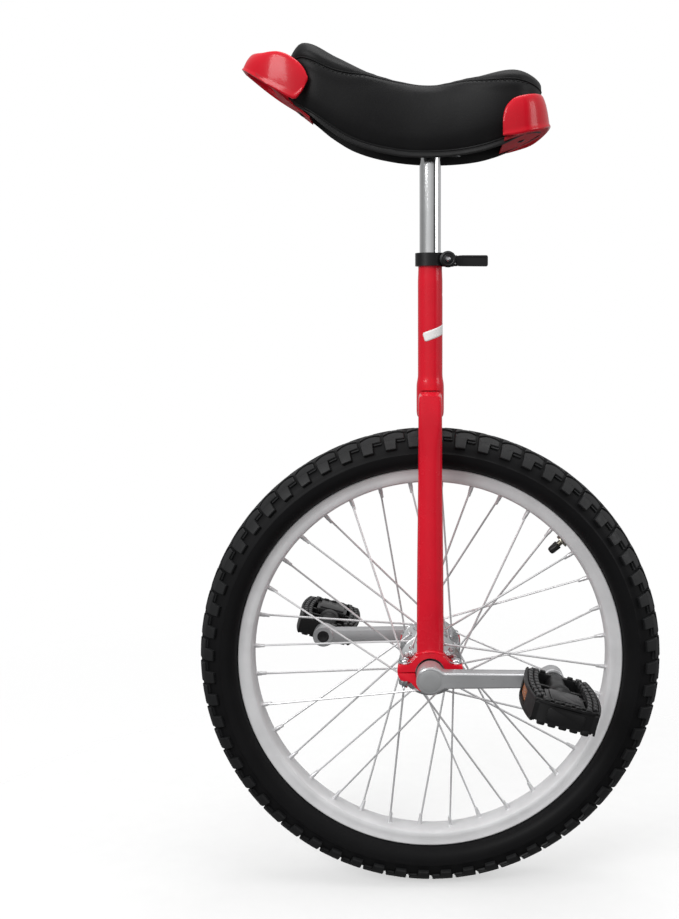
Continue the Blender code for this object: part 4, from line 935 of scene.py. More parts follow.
def apply_cut(obj, cutter):
    """Cuts a shape out of the piece for good and throws the cutter away."""
    bmesh.ops.recalc_face_normals(cutter, faces=cutter.faces)
    tool = as_object("cutter", cutter)
    modifier = obj.modifiers.new("Cut", "BOOLEAN")
    modifier.operation = "DIFFERENCE"
    modifier.solver = "EXACT"
    modifier.use_self = True
    modifier.object = tool
    bpy.context.view_layer.update()
    depsgraph = bpy.context.evaluated_depsgraph_get()
    result = bpy.data.meshes.new_from_object(obj.evaluated_get(depsgraph))
    obj.modifiers.remove(modifier)
    obj.data = result
    result.shade_smooth()
    result.set_sharp_from_angle(angle=radians(35))
    bpy.data.objects.remove(tool, do_unlink=True)


def leg_path():
    """The middle of the right leg in (y, z), from its foot to the inside of the seat tube's socket."""
    straight = [(LEG_Y, z) for z in spread(AXLE.z + 0.015, BEND_Z, 12)]
    bend = circle((LEG_Y - BEND_RADIUS, BEND_Z), BEND_RADIUS, 15, 0.0, pi / 2, ends=True)[1:]
    return straight + bend + [(0.019, BEND_Z + BEND_RADIUS), (0.0113, BEND_Z + BEND_RADIUS)]


def leg_section(point, tangent, radius, square, depth, outer):
    """A ring of points: round low down, squared off where the leg turns into the crown."""
    sideways = Vector((1, 0, 0))
    out = sideways.cross(tangent)
    power = 2 / (2 + 4.0 * square)
    ring = []
    for a in [2 * pi * i / 48 for i in range(48)]:
        c, s = cos(a), sin(a)
        ring.append(point + sideways * radius * abs(c) ** power * (1 if c >= 0 else -1)
                    + out * (depth if s >= 0 else -outer) * abs(s) ** power)
    return ring


def leg_corner(point, depth):
    """How far the outside of the leg stands from its middle: the bend is pressed to a corner."""
    up = point.z - BEND_Z
    out = point.y - (LEG_Y - BEND_RADIUS)
    if up <= 0 or out <= 0:
        return depth
    turn = max(up, out) / sqrt(up * up + out * out)
    return (BEND_RADIUS + depth) / turn ** 0.85 - BEND_RADIUS


def make_legs():
    path = [Vector((0, y, z)) for y, z in leg_path()]
    for side, word in SIDE_NAMES.items():
        shape = bmesh.new()
        rings = []
        for i, point in enumerate(path):
            tangent = (path[min(i + 1, len(path) - 1)] - path[max(i - 1, 0)]).normalized()
            radius = LEG_TOP + (LEG_FOOT - LEG_TOP) * ease(BEND_Z - point.z, 0.0, 0.19)
            flattened = ease(point.z, AXLE.z + 0.07, AXLE.z + 0.018)
            depth = radius + (FOOT_DEPTH - radius) * flattened
            ring = leg_section(point, tangent, radius, ease(point.z, 0.44, 0.482), depth,
                               leg_corner(point, depth))
            if i == 0:
                ring = [Vector((p.x, p.y, AXLE.z + sqrt(HOLDER_RADIUS ** 2 - p.x ** 2) - 0.0006))
                        for p in ring]
            rings.append([shape.verts.new(p) for p in ring])
        skin(shape, rings)
        seam = []
        for a in spread(0.0, 2 * pi, 49)[:-1]:
            x = LEG_FOOT * cos(a)
            z = AXLE.z + sqrt(HOLDER_RADIUS ** 2 - x * x) + 0.0002
            seam.append((x, LEG_Y + FOOT_DEPTH * sin(a), z))
        sweep(shape, seam, [0.0014 + 0.00015 * (i % 3) for i in range(len(seam))], 8, closed=True)
        bmesh.ops.transform(shape, matrix=half_turn(side), verts=shape.verts)
        piece(word + "_leg", shape, red_paint, "frame", (word + "_fork_leg",), sharp=50)


def clamp_outline(thickness, taper):
    """Half of a bearing clamp: ears, an arch over the bearing and the bore, in (x, z)."""
    gap = 0.0004
    ear = rounded([(EAR_HALF - 0.006, gap), (EAR_HALF, gap), (EAR_HALF - taper, thickness),
                   (EAR_HALF - 0.009, thickness)], [0.0, 0.001, 0.0028, 0.0])[6:-6]
    top = []
    for x in spread(0.0225, 0.0, 20):
        arch = sqrt(max(HOLDER_RADIUS ** 2 - x * x, 0.0)) if x < HOLDER_RADIUS else 0.0
        top.append((x, larger(arch, thickness, 0.005)))
    right = [(BORE_RADIUS, gap)] + ear + top
    bore = [(x, max(z, gap)) for x, z in circle((0, 0), BORE_RADIUS, 33, pi, -pi, ends=True)][1:-1]
    return right + [(-x, z) for x, z in reversed(right[:-1])] + bore


def make_clamps():
    halves = ((1, "bearing_holder", 0.0075, 0.0006), (-1, "bearing_cap", 0.008, 0.0034))
    for side, word in SIDE_NAMES.items():
        for up, node, thickness, taper in halves:
            outline = clamp_outline(thickness, taper)
            place = Matrix(((1, 0, 0, 0), (0, 0, 1, side * LEG_Y), (0, up, 0, AXLE.z), (0, 0, 0, 1)))
            shape = bmesh.new()
            prism(shape, outline, -HOLDER_HALF, HOLDER_HALF, place, 0.0009)
            piece(f"{word}_{node}_body", shape, red_paint, "frame", (f"{word}_{node}",),
                  sharp=30)


def hexagon(shape, low, high, place):
    """A hexagonal nut or head with its corners chamfered."""
    radius = 0.0056
    rows = []
    for limit, height in ((0.9, low), (1.0, low + 0.0006), (1.0, high - 0.0007), (0.88, high)):
        row = []
        for a in [2 * pi * i / 36 for i in range(36)]:
            reach = radius * min(cos(pi / 6) / cos((a % (pi / 3)) - pi / 6), limit)
            row.append(place @ Vector((reach * cos(a), reach * sin(a), height)))
        rows.append(row)
    verts = grid(shape, rows, closed_rows=True)
    shape.faces.new(verts[0][::-1])
    shape.faces.new(verts[-1])


def make_cap_bolt(node):
    """A round-headed bolt with its threads."""
    low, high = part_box(node)
    x, y, _ = middle(node)
    seat = high.z - 0.0038
    shape = bmesh.new()
    lathe(shape, [(0.0, 0.0), (0.0062, 0.0), (0.0063, 0.0005), (0.0056, 0.0011), (0.005, 0.0013),
                  (0.0049, 0.0024), (0.0042, 0.0034), (0.0028, 0.0041), (0.0, 0.0044)],
          upright(x, y, seat), 32)
    shank = [(0.0, 0.0)]
    length = seat - low.z
    for step in range(int(length / THREAD)):
        shank += [(0.0029, 0.0003 + step * THREAD), (0.0026, 0.0008 + step * THREAD)]
    lathe(shape, shank + [(0.0, length)], upright(x, y, low.z), 20)
    piece(node + "_body", shape, bolt_steel, "frame", (node,))


def make_cap_nut(node):
    low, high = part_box(node)
    x, y, _ = middle(node)
    shape = bmesh.new()
    hexagon(shape, 0.0, high.z - low.z, upright(x, y, low.z))
    piece(node + "_body", shape, bolt_steel, "frame", (node,), sharp=25)


def make_saddle_bolt(node):
    """A hexagonal head, a washer and the end that shows above the plate."""
    x, y, _ = middle(node)
    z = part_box(node)[0].z
    shape = bmesh.new()
    hexagon(shape, 0.0, 0.004, upright(x, y, z))
    lathe(shape, [(0.0, 0.0), (0.0075, 0.0), (0.0077, 0.0003), (0.0075, 0.0008), (0.0, 0.0008)],
          upright(x, y, z + 0.0037), 28)
    lathe(shape, [(0.0, 0.0), (0.0028, 0.0), (0.0028, 0.0075), (0.0022, 0.0084), (0.0, 0.0084)],
          upright(x, y, z + 0.004), 16)
    piece(node + "_body", shape, bolt_steel, "saddle", (node,), sharp=25)


def make_fasteners():
    for word in SIDE_NAMES.values():
        for end in ("front", "rear"):
            make_cap_bolt(f"{word}_{end}_cap_bolt")
            make_cap_nut(f"{word}_{end}_cap_nut")
    for number in range(1, 5):
        make_saddle_bolt(f"saddle_bolt_{number}")


def make_label():
    """A blank white sticker wrapped round the seat tube."""
    shape = bmesh.new()
    tilt = radians(20)
    start, centre_z = radians(-31), 0.5485
    length, height, corner = 0.03, 0.009, 0.0012
    radius = TUBE_RADIUS + 0.00016
    rows = []
    for up in spread(-1.0, 1.0, 7):
        row = []
        for u in spread(0.0, length, 29):
            inset = corner * max(0.0, 1 - min(u, length - u) / corner) ** 2
            v = (height / 2 - inset) * up
            a = start + (u * cos(tilt) - v * sin(tilt)) / TUBE_RADIUS
            row.append((radius * sin(a), -radius * cos(a), centre_z + u * sin(tilt) + v * cos(tilt)))
        rows.append(row)
    grid(shape, rows)
    piece("tube_label", shape, label, "frame", (), wall=0.0001)


# ---- seat clamp and post

COLLAR_LOW, COLLAR_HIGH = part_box("seat_clamp_collar")[0].z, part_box("seat_clamp_collar")[1].z
SKEWER_X, SKEWER_Z = middle("qr_skewer").x, (COLLAR_LOW + COLLAR_HIGH) / 2
LEVER_Y = 0.0165
LEVER_PIN = upright(SKEWER_X, LEVER_Y, SKEWER_Z)


def make_collar():
    """A split ring with two ears, which the skewer draws together."""
    shape = bmesh.new()
    outer, inner = 0.0147, 0.0122
    ears_angle, gap_angle = 0.58, 0.13
    ring = circle((0, 0), outer, 56, ears_angle, 2 * (pi - ears_angle), ends=True)
    bore = circle((0, 0), inner, 56, -gap_angle, -2 * (pi - gap_angle), ends=True)
    ear = [(0.014, 0.0016), (0.023, 0.0018), (0.023, 0.0092), (0.0215, 0.0104), (0.016, 0.0104),
           (0.014, 0.0098)]
    outline = [(x, -y) for x, y in ear] + bore + ear + ring
    prism(shape, outline, COLLAR_LOW, COLLAR_HIGH, Matrix.Identity(4), 0.0007)
    piece("clamp_collar_body", shape, clamp_black, "frame", ("seat_clamp_collar",), sharp=30)


def make_skewer():
    shape = bmesh.new()
    place = facing((SKEWER_X, 0, SKEWER_Z), (0, -1, 0))
    lathe(shape, [(0.0, 0.0176), (0.0012, 0.0177), (0.002, 0.0168), (0.0024, 0.0164), (0.0024, -LEVER_Y),
                  (0.0, -LEVER_Y)], place, 24)
    lathe(shape, [(0.0, -0.0025), (0.0034, -0.0025), (0.0034, 0.0025), (0.0, 0.0025)], LEVER_PIN, 24)
    piece("qr_skewer_body", shape, bolt_steel, "frame", ("qr_skewer",))
    nut = bmesh.new()
    lathe(nut, [(0.0026, 0.0104), (0.0078, 0.0104), (0.008, 0.0108), (0.0078, 0.0117), (0.0069, 0.012),
                (0.007, 0.0142), (0.0067, 0.0149), (0.006, 0.0152), (0.0052, 0.0149), (0.0048, 0.0149),
                (0.0043, 0.0155), (0.0034, 0.0157), (0.0027, 0.0153),
                (0.0026, 0.0145)], place, 40, closed=True)
    piece("qr_nut_body", nut, clamp_black, "frame", ("qr_nut",))


def make_lever():
    """A cam round the pin and a flat bar with a rounded end and a sunk panel."""
    shape = bmesh.new()
    half = 0.0055
    for low, high in ((-half, -0.003), (0.003, half)):
        lathe(shape, [(0.0, low), (0.005, low), (0.0056, low + 0.0005), (0.0056, high - 0.0005),
                      (0.005, high), (0.0, high)], LEVER_PIN, 36)
    lathe(shape, [(0.0, -half + 0.0002), (0.0019, -half + 0.0002), (0.0019, half + 0.0003),
                  (0.0, half + 0.0003)], LEVER_PIN, 16)
    side = LEVER_PIN @ Matrix.Rotation(pi / 2, 4, "X")
    bar = rounded([(0.0078, -0.004), (0.011, -0.0053), (0.0392, -0.0055), (0.04, -0.0042), (0.04, 0.0042),
                   (0.0392, 0.0055), (0.011, 0.0053), (0.0078, 0.004)],
                  [0.001, 0.002, 0.002, 0.002, 0.001, 0.002, 0.002, 0.002], 4)
    prism(shape, bar, -0.0023, 0.0016, side, 0.0006)
    rim = rounded([(0.013, -0.0054), (0.0396, -0.0054), (0.0396, 0.0054), (0.013, 0.0054)], 0.0018)
    hole = rounded([(0.0145, -0.0036), (0.038, -0.0036), (0.038, 0.0036), (0.0145, 0.0036)], 0.0016)
    for outline in frame_strips(rim, hole):
        prism(shape, outline, 0.0014, 0.0024, side)
    for up in (-1, 1):
        brick(shape, (0.0055, 0, up * 0.0042), (0.009, 0.0046, 0.0022), LEVER_PIN, 0.0006)
    piece("qr_lever_body", shape, clamp_black, "qr_lever", ("qr_lever",))


def frame_strips(outer, inner):
    """Four-sided strips that fill the space between two outlines of the same count."""
    count = len(outer)
    return [(outer[i], outer[(i + 1) % count], inner[(i + 1) % count], inner[i]) for i in range(count)
            if (Vector(outer[i]) - Vector(outer[(i + 1) % count])).length > 1e-6]


def make_post():
    shape = bmesh.new()
    low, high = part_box("seatpost")
    radius = (high.x - low.x) / 2
    wall = 0.0015
    lathe(shape, [(radius - wall, low.z), (radius - 0.0004, low.z), (radius, low.z + 0.0005), (radius, 0.6),
                  (radius, 0.66), (radius, 0.7), (radius, high.z), (radius - wall, high.z)],
          Matrix.Identity(4), 72, closed=True)
    lathe(shape, [(radius - 0.0002, high.z - 0.0035), (radius + 0.0006, high.z - 0.0032),
                  (radius + 0.0022, high.z - 0.0012), (radius + 0.0024, high.z), (radius - 0.0002, high.z)],
          Matrix.Identity(4), 48, closed=True)
    piece("seatpost_tube", shape, chrome, "seatpost", ("seatpost",))


# ---- saddle

# The cushion along its length, by x: its top, its lower edge and half its width
SADDLE_TOP = ((-0.137, 0.819), (-0.121, 0.83), (-0.088, 0.815), (-0.045, 0.796), (0.0, 0.788),
              (0.04, 0.795), (0.078, 0.802), (0.107, 0.796))
SADDLE_EDGE = ((-0.137, 0.776), (-0.11, 0.759), (-0.075, 0.737), (-0.035, 0.726), (0.005, 0.7235),
               (0.045, 0.7275), (0.08, 0.738), (0.107, 0.747))
SADDLE_HALF = ((-0.137, 0.0385), (-0.105, 0.0385), (-0.055, 0.036), (-0.02, 0.0355), (0.02, 0.041),
               (0.06, 0.05), (0.085, 0.0505), (0.107, 0.05))
# The cushion across, from its lower edge (0) over a side to its middle (1): share of width and height
SECTION_WIDTH = ((0.0, 0.8), (0.08, 0.86), (0.2, 0.965), (0.36, 1.0), (0.54, 0.965), (0.66, 0.86),
                 (0.8, 0.58), (1.0, 0.0))
SECTION_HEIGHT = ((0.0, 0.0), (0.08, 0.045), (0.2, 0.22), (0.36, 0.5), (0.54, 0.765), (0.66, 0.895),
                  (0.8, 0.968), (1.0, 1.0))
NOSE_X, TAIL_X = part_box("saddle_cover")[0].x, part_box("saddle_cover")[1].x
END_REACH = 0.036
# Where the seam between side and top panel runs, as a share of the way up and over a side
SEAM = ((-0.137, 0.5), (-0.105, 0.505), (-0.08, 0.56), (-0.05, 0.7), (0.0, 0.775), (0.03, 0.7),
        (0.055, 0.6), (0.08, 0.545), (0.107, 0.535))


def end_share(x):
    """Share of the width that remains near the rounded nose and tail."""
    from_end = min(x - NOSE_X, TAIL_X - x)
    if from_end >= END_REACH:
        return 1.0
    t = 1 - max(from_end, 0.0) / END_REACH
    return sqrt(max(1 - t ** 2.3, 0.0))


def saddle_point(x, t, inset=0.0):
    """On the cushion at x; t runs from the lower edge of the right side over the top to the left."""
    left = t > 1
    part = 2 - t if left else t
    top, edge = smooth(SADDLE_TOP, x), smooth(SADDLE_EDGE, x)
    half = smooth(SADDLE_HALF, x) * end_share(x)
    y = half * smooth(SECTION_WIDTH, part) - inset
    drop = (0.01 if x < 0 else 0.0065) * (1 - end_share(x)) * smooth(SECTION_HEIGHT, part)
    z = edge + (top - edge - drop - inset) * smooth(SECTION_HEIGHT, part)
    y = max(y, 0.0) * (-1 if left else 1)
    return Vector((x, y, z))


def cushion_stations():
    """Places along x, closer together at the rounded ends."""
    ends = [END_REACH * (1 - cos(a)) for a in spread(0.0, pi / 2, 16)]
    low = [NOSE_X + 0.0006 + e for e in ends]
    high = [TAIL_X - 0.0006 - e for e in reversed(ends)]
    return low + spread(low[-1], high[0], 62)[1:-1] + high


def cushion_point(x, t, seam):
    """On the padded cover: sunk in at the seams and swollen beside them."""
    point = saddle_point(x, t)
    near = min(abs(t - seam), abs(t - (2 - seam)))
    sunk = 0.0011 * max(0.0, 1 - near / 0.011)
    swell = 0.0012 * max(0.0, 1 - abs(near - 0.06) / 0.05)
    flank = saddle_point(x, 0.5 if t < 1 else 1.5)
    outwards = Vector((0, point.y - flank.y * 0.4, point.z - (flank.z - 0.01)))
    if outwards.length > 1e-6:
        point += outwards.normalized() * (swell * end_share(x) - sunk)
    return point


def cushion_row(x):
    """Points across the cover at x, with more of them at its two seams."""
    seam = smooth(SEAM, x)
    spots = spread(0.0, 2.0, 65)
    for mark in (seam, 2 - seam):
        spots += [mark + shift for shift in (-0.014, -0.006, 0.0, 0.006, 0.014)]
    return [cushion_point(x, t, seam) for t in sorted(spots)]


def make_cushion():
    """The padded cover as one skin with sewn seams; it also stands for the foam inside."""
    shape = bmesh.new()
    stations = cushion_stations()
    verts = grid(shape, [cushion_row(x) for x in stations])
    under = []
    for row, x in zip(verts, stations):
        right, left = row[0].co, row[-1].co
        under.append([shape.verts.new((x, right.y + (left.y - right.y) * s, right.z + 0.01 * lift))
                      for s, lift in ((0.04, 0.5), (0.1, 1.0), (0.3, 1.1), (0.5, 1.2), (0.7, 1.1),
                                      (0.9, 1.0), (0.96, 0.5))])
    across = [[row[0]] + below + [row[-1]] for row, below in zip(verts, under)]
    for first, second in zip(across, across[1:]):
        for i in range(len(first) - 1):
            shape.faces.new((first[i], first[i + 1], second[i + 1], second[i]))
    for j in (0, -1):
        shape.faces.new(verts[j] + under[j][::-1])
    piece("saddle_cushion", shape, saddle_vinyl, "saddle", ("saddle_cover", "saddle_foam"),
          sharp=60)


def make_seams():
    """The piping that edges the top panel, its stitches, and the rolled hem below."""
    stations = cushion_stations()[2:-2]
    hem = ((stations[0], 0.015), (stations[-1], 0.015))
    for name, line, radius, sides in (("piping", SEAM, 0.00085, 8), ("hem", hem, 0.0013, 10)):
        loop = [saddle_point(x, smooth(line, x)) for x in stations]
        loop += [saddle_point(x, 2 - smooth(line, x)) for x in reversed(stations)]
        shape = bmesh.new()
        sweep(shape, loop, radius, sides, closed=True)
        piece("saddle_" + name, shape, saddle_vinyl, "saddle", ())
    stitches = bmesh.new()
    for mirror in (False, True):
        line = []
        x = NOSE_X + 0.02
        while x < TAIL_X - 0.014:
            t = smooth(SEAM, x) - 0.022
            line.append(saddle_point(x, 2 - t if mirror else t))
            x += 0.0021
        for a, b in zip(line[::2], line[1::2]):
            out = Vector((0, a.y, 0.012)).normalized() * 0.0009
            sweep(stitches, [a + out * 0.3, (a + b) / 2 + out * 1.1, b + out * 0.3], 0.0003, 5)
    piece("saddle_stitching", stitches, thread_black, "saddle", ())


def make_base():
    """The moulded shell under the cushion: a lip round its edge, a hollow and ribs."""
    shape = bmesh.new()
    rows = []
    for x in cushion_stations()[1:-1]:
        edge = smooth(SADDLE_EDGE, x)
        half = smooth(SADDLE_HALF, x) * end_share(x)
        rim = max(half * 0.8 - 0.0004, 0.0008)
        drop = 0.0028 * ease(min(x - NOSE_X, TAIL_X - x), 0.018, 0.04)
        profile = [(rim, edge), (rim - 0.0002, edge - drop * 0.9), (rim * 0.97 - 0.0012, edge - drop),
                   (rim * 0.95 - 0.0016, edge + 0.002), (rim * 0.91, edge + 0.0075),
                   (rim * 0.8, edge + 0.0105), (rim * 0.4, edge + 0.0112)]
        row = [(x, y, z) for y, z in profile] + [(x, 0.0, edge + 0.0114)]
        rows.append(row + [(x, -y, z) for y, z in reversed(profile)])
    grid(shape, rows)
    piece("saddle_base_shell", shape, base_plastic, "saddle", ("saddle_base",),
          sharp=40, wall=0.0018)
    ribs = bmesh.new()
    for y in (-0.026, -0.009, 0.009, 0.026):
        crest = [(x, smooth(SADDLE_EDGE, x) + 0.0118) for x in spread(-0.085, 0.08, 24)
                 if abs(y) < smooth(SADDLE_HALF, x) * 0.68]
        keel = [(x, z - 0.004 - 0.0025 * (1 - abs(x) / 0.1)) for x, z in reversed(crest)]
        place = Matrix(((1, 0, 0, 0), (0, 0, -1, y), (0, 1, 0, 0), (0, 0, 0, 1)))
        prism(ribs, crest + keel, -0.0008, 0.0008, place, 0.0003, 1)
    for x in (-0.07, -0.045, 0.045, 0.068):
        z = smooth(SADDLE_EDGE, x) + 0.009
        brick(ribs, (x, 0, z), (0.0016, smooth(SADDLE_HALF, x) * 1.3, 0.005), None, 0.0003)
    piece("saddle_base_ribs", ribs, base_plastic, "saddle", ())


def make_plate():
    shape = bmesh.new()
    low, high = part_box("saddle_plate")
    outline = rounded([(low.x, low.y), (high.x, low.y), (high.x, high.y), (low.x, high.y)], 0.006)
    prism(shape, outline, low.z, high.z, Matrix.Identity(4), 0.0006)
    for x in (low.x + 0.004, high.x - 0.004):
        brick(shape, (x, 0, low.z - 0.0012), (0.003, (high.y - low.y) * 0.8, 0.003), None, 0.0008)
    piece("saddle_plate_body", shape, plate_steel, "saddle", ("saddle_plate",), sharp=30)


# Middle x, reach along x and half width of the oval plans of the two guards
HANDLE_PLAN = (-0.12, 0.058, 0.0395)
BUMPER_PLAN = (0.072, 0.0418, 0.0545)
# Edges of the two guards, by distance along x from their free ends
HANDLE_TOP = ((0.0, 0.791), (0.003, 0.798), (0.008, 0.8042), (0.013, 0.808), (0.021, 0.8124),
              (0.031, 0.8152), (0.041, 0.8158), (0.05, 0.8158), (0.0645, 0.8178))
HANDLE_LOW = ((0.0, 0.7885), (0.002, 0.784), (0.0043, 0.7795), (0.0105, 0.7715), (0.014, 0.7708),
              (0.031, 0.78), (0.045, 0.7892), (0.0645, 0.8036))
BUMPER_TOP = ((0.0, 0.751), (0.001, 0.7565), (0.003, 0.7615), (0.008, 0.7672), (0.014, 0.7702),
              (0.03, 0.7738), (0.047, 0.7772))
BUMPER_LOW = ((0.0, 0.7345), (0.01, 0.735), (0.02, 0.7373), (0.035, 0.7417), (0.047, 0.749))
# Both ends of the flat tongues in (x, z), from the band to under the base
HANDLE_TONGUE = ((-0.148, 0.785), (-0.115, 0.759))
BUMPER_TONGUE = ((0.069, 0.734), (0.1125, 0.75))
# Outwards and up the band, from the lower lip over the outer face to the top lip and down inside
GUARD_SECTION = ((0.001, 0.0), (0.002, 0.03), (0.0021, 0.07), (0.0015, 0.12), (0.0017, 0.2), (0.0022, 0.5),
                 (0.0021, 0.72), (0.0016, 0.86), (0.001, 0.955), (0.0003, 0.99), (-0.0006, 1.0),
                 (-0.0013, 0.97), (-0.0015, 0.88), (-0.0012, 0.5), (-0.0012, 0.1), (-0.001, 0.03),
                 (0.0, 0.0))


def oval(plan, forward, square, flat, angle):
    """A point of a guard's plan: an oval, squared off and cut flat at its tip."""
    centre_x, reach, half = plan
    ahead = min(sin(angle) ** square, flat) / flat
    across = abs(cos(angle)) ** square * (1 if cos(angle) >= 0 else -1)
    return centre_x + forward * reach * ahead, half * across


def guard_band(shape, plan, wing, forward, square, flat, lean, top, low):
    """A band round one end of the saddle: outer face, rolled lips and inner face."""
    centre_x, reach, half = plan
    steps = 72
    spots = [(centre_x - forward * wing * k, half) for k in (1.0, 0.93, 0.8, 0.6, 0.4, 0.2)]
    spots += [oval(plan, forward, square, flat, pi * (i + 0.001) / (steps + 0.002))
              for i in range(steps + 1)]
    spots += [(centre_x - forward * wing * k, -half) for k in (0.2, 0.4, 0.6, 0.8, 0.93, 1.0)]
    rings = []
    for i, (x, y) in enumerate(spots):
        ahead, behind = Vector(spots[min(i + 1, len(spots) - 1)]), Vector(spots[max(i - 1, 0)])
        tangent = (ahead - behind).normalized()
        out = Vector((tangent.y, -tangent.x))
        if out.dot(Vector((x - centre_x, y))) < 0:
            out = -out
        along = forward * (x - centre_x) + wing
        z0, z1 = smooth(low, along), smooth(top, along)
        height = z1 - z0
        back = -forward * lean * max(forward * (x - centre_x) / reach, 0.0) ** 1.5
        rings.append([shape.verts.new((x + out.x * d + back * h, y + out.y * d, z0 + height * h))
                      for d, h in GUARD_SECTION])
    skin(shape, rings)


def guard_tongue(shape, ends, widths, hollow):
    """The plate that runs from inside the band to under the base; its free edge is hollowed out."""
    (x0, z0), (x1, z1) = ends
    rows = []
    for t in spread(0.0, 1.0, 18):
        row = []
        for s in spread(-1.0, 1.0, 25):
            x = (x0 - hollow * s * s) * (1 - t) + x1 * t
            row.append(Vector((x, s * smooth(widths, x), z0 + (z1 - z0) * (x - x0) / (x1 - x0))))
        rows.append(row)
    before = set(shape.faces)
    top = grid(shape, rows)
    low = grid(shape, [[point - Vector((0, 0, 0.0024)) for point in row] for row in rows])
    rims = ((top[0], low[0]), (low[-1], top[-1]), ([row[0] for row in low], [row[0] for row in top]),
            ([row[-1] for row in top], [row[-1] for row in low]))
    for first, second in rims:
        for i in range(len(first) - 1):
            shape.faces.new((first[i], first[i + 1], second[i + 1], second[i]))
    # The tongue takes the second slot, the darker red that is painted shade.
    for face in set(shape.faces) - before:
        face.material_index = 1


def make_guards():
    handle = bmesh.new()
    guard_band(handle, HANDLE_PLAN, 0.006, -1, 1.0, 0.955, 0.009, HANDLE_TOP, HANDLE_LOW)
    widths = ((-0.18, 0.023), (-0.165, 0.029), (-0.15, 0.034), (-0.136, 0.023), (-0.125, 0.018),
              (-0.115, 0.017))
    guard_tongue(handle, HANDLE_TONGUE, widths, 0.016)
    piece("front_handle_shell", handle, (red_plastic, red_painted_shade), "saddle", ("front_handle",),
          sharp=45)
    bumper = bmesh.new()
    guard_band(bumper, BUMPER_PLAN, 0.005, 1, 0.8, 1.0, 0.0065, BUMPER_TOP, BUMPER_LOW)
    widths = ((0.066, 0.0525), (0.09, 0.05), (0.1, 0.045), (0.107, 0.037), (0.1125, 0.02))
    guard_tongue(bumper, BUMPER_TONGUE, widths, 0.0)
    piece("rear_bumper_shell", bumper, (red_plastic, red_painted_shade), "saddle", ("rear_bumper",),
          sharp=45)


def make_guard_screws():
    screws = (("front_handle_screw", *HANDLE_TONGUE), ("rear_bumper_screw", *BUMPER_TONGUE))
    for node, (x0, z0), (x1, z1) in screws:
        x = middle(node).x
        along = Vector((x1 - x0, 0, z1 - z0)).normalized()
        axis = Vector((-along.z, 0, along.x))
        head = Vector((x, 0, z0 + (z1 - z0) * (x - x0) / (x1 - x0))) - axis * 0.0034
        shape = bmesh.new()
        lathe(shape, [(0.0, 0.0005), (0.0012, 0.0), (0.003, 0.0004), (0.0041, 0.0012), (0.0042, 0.002),
                      (0.002, 0.002), (0.002, 0.009), (0.0, 0.0095)], facing(head, axis), 24)
        piece(node + "_body", shape, black_steel, "saddle", (node,))


# ---- kept CAD nodes

def dress_kept_nodes():
    """CAD nodes that are hidden inside and right as they are get their own finishes."""
    finishes = {"inner_tube": inner_rubber, "rim_tape": tape_plastic, "axle": bearing_steel}
    for word in SIDE_NAMES.values():
        finishes[word + "_bearing_inner_race"] = bearing_steel
        finishes[word + "_bearing_outer_race"] = bearing_steel
        finishes[word + "_crank_bolt"] = bolt_steel
    for node, material in finishes.items():
        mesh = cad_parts[node].data
        mesh.materials.clear()
        mesh.materials.append(material)


# ---- studio

FLOOR_SHARE = 0.45  # how much of the floor shows over the white beyond it


def make_floor():
    """A pale floor that fades into the white studio round its edge."""
    shape = bmesh.new()
    bmesh.ops.create_circle(shape, cap_ends=True, segments=64, radius=1.2)
    floor = as_object("studio_floor", shape)
    tree = Material("studio_floor")
    fine = tree.noise(40.0)
    tree.wire(tree.shader, {"Base Color": tree.ramp(fine, (0.86, 0.86, 0.86), (0.88, 0.88, 0.88)),
                            "Roughness": tree.between(fine, 0.85, 0.9), "Specular IOR Level": 0.0})
    far = tree.add("ShaderNodeVectorMath", {0: tree.place}, operation="LENGTH").outputs["Value"]
    fade = tree.between(far, FLOOR_SHARE, 0.0, 0.25, 1.1)
    above = tree.maths("SUBTRACT", 1.0, tree.add("ShaderNodeNewGeometry").outputs["Backfacing"])
    see_through = tree.add("ShaderNodeBsdfTransparent")
    share = tree.maths("MULTIPLY", above, fade)
    mix = tree.add("ShaderNodeMixShader", {0: share, 1: see_through.outputs[0], 2: tree.shader.outputs[0]})
    tree.wire(tree.tree.nodes["Material Output"], {"Surface": mix.outputs[0]})
    floor.data.materials.append(tree.material)
    floor.location.z = -0.0005
    floor.visible_glossy = False


# Brightness of the studio's walls, once round: 0.5 is behind the camera, 0.75 the rear side (+X)
STUDIO = ((0.0, 0.95), (0.12, 0.7), (0.22, 0.42), (0.3, 0.52), (0.36, 0.7), (0.42, 1.1), (0.48, 1.05),
          (0.55, 0.75), (0.6, 0.6), (0.615, 0.05), (0.642, 0.05), (0.658, 0.85), (0.7, 0.95), (0.8, 0.85),
          (0.9, 0.7), (1.0, 0.95))


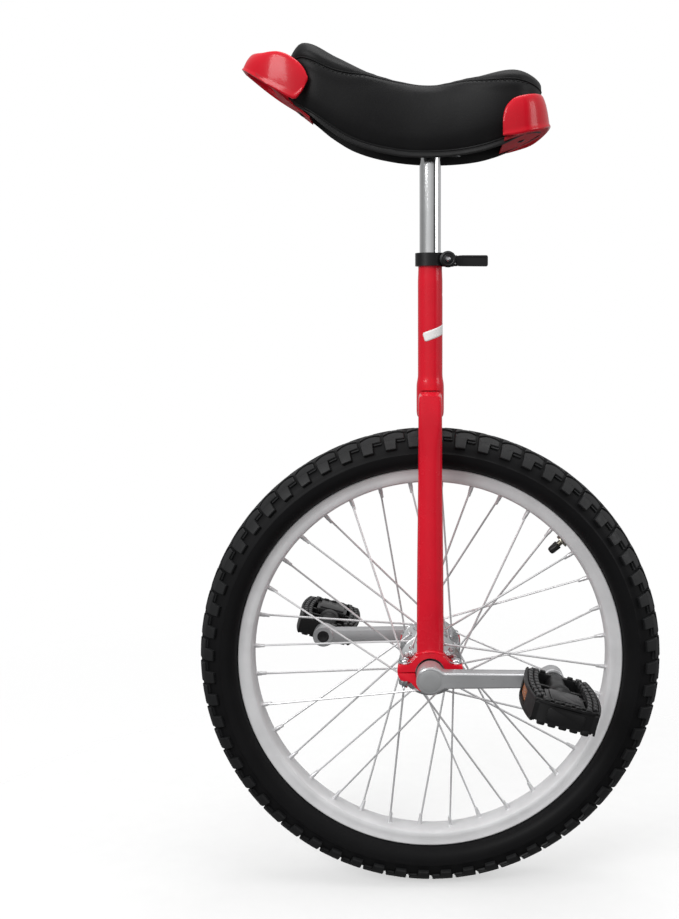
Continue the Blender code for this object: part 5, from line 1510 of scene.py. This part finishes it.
def make_world():
    """A soft room: bright all round with a few dark flags, so that metal shows bands."""
    world = bpy.data.worlds.new("studio")
    bpy.context.scene.world = world
    world.use_nodes = True
    world.node_tree.nodes.clear()
    room = Nodes(world.node_tree)
    place = room.add("ShaderNodeTexCoord").outputs["Generated"]
    parts = room.add("ShaderNodeSeparateXYZ", {0: place}).outputs
    turn = room.maths("ARCTAN2", parts["X"], room.maths("MULTIPLY", parts["Y"], -1.0))
    walls = room.add("ShaderNodeValToRGB", {"Fac": room.between(turn, 0.0, 1.0, -pi, pi)})
    stops = walls.color_ramp.elements
    stops.remove(stops[1])
    for number, (position, level) in enumerate(STUDIO):
        stop = stops.new(position) if number else stops[0]
        stop.color = (level, level, level, 1.0)
    upper = room.blend(room.between(parts["Z"], 0.0, 1.0, 0.35, 0.85), walls.outputs["Color"],
                       (1.25, 1.25, 1.25, 1.0))
    whole = room.blend(room.between(parts["Z"], 0.0, 1.0, -0.32, -0.02), (0.22, 0.22, 0.22, 1.0), upper)
    lit = room.add("ShaderNodeBackground", {"Color": whole, "Strength": 0.58})
    seen = room.add("ShaderNodeBackground", {"Color": (1.0, 1.0, 1.0, 1.0)})
    rays = room.add("ShaderNodeLightPath").outputs["Is Camera Ray"]
    choice = room.add("ShaderNodeMixShader", {0: rays, 1: lit.outputs[0], 2: seen.outputs[0]})
    room.add("ShaderNodeOutputWorld", {"Surface": choice.outputs[0]})


def make_lights():
    target = Vector((0, 0, 0.42))
    for name, place, size, power in (("key", (-1.5, -1.7, 1.7), 1.2, 34.0),
                                     ("top", (0.2, -0.1, 2.6), 1.6, 26.0),
                                     ("side", (2.1, -0.6, 1.2), 0.9, 9.0)):
        data = bpy.data.lights.new(name, "AREA")
        data.shape = "SQUARE"
        data.size = size
        data.energy = power
        light = bpy.data.objects.new(name, data)
        light.location = place
        light.rotation_mode = "QUATERNION"
        light.rotation_quaternion = (target - Vector(place)).to_track_quat("-Z", "Y")
        bpy.context.scene.collection.objects.link(light)


def make_camera():
    """At the rider's left, above the middle and looking slightly down."""
    data = bpy.data.cameras.new("camera")
    data.sensor_width = 36.0
    data.lens = 43.75626
    data.shift_x, data.shift_y = -0.098694, -0.04951
    camera = bpy.data.objects.new("camera", data)
    camera.location = (0.0, -1.1, 0.5597)
    camera.rotation_euler = (radians(90 - 4.5), 0.0, 0.0)
    bpy.context.scene.collection.objects.link(camera)
    bpy.context.scene.camera = camera


make_tyre()
make_rim()
make_spokes()
make_hub()
make_valve()
make_seals()
for side, word in SIDE_NAMES.items():
    make_crank(side, word)
    make_pedal(side, word)
make_seat_tube()
make_legs()
make_clamps()
make_fasteners()
make_label()
make_collar()
make_skewer()
make_lever()
make_post()
make_cushion()
make_seams()
make_base()
make_plate()
make_guards()
make_guard_screws()
dress_kept_nodes()
make_floor()
make_world()
make_lights()
make_camera()
bpy.context.scene.view_settings.view_transform = "Standard"
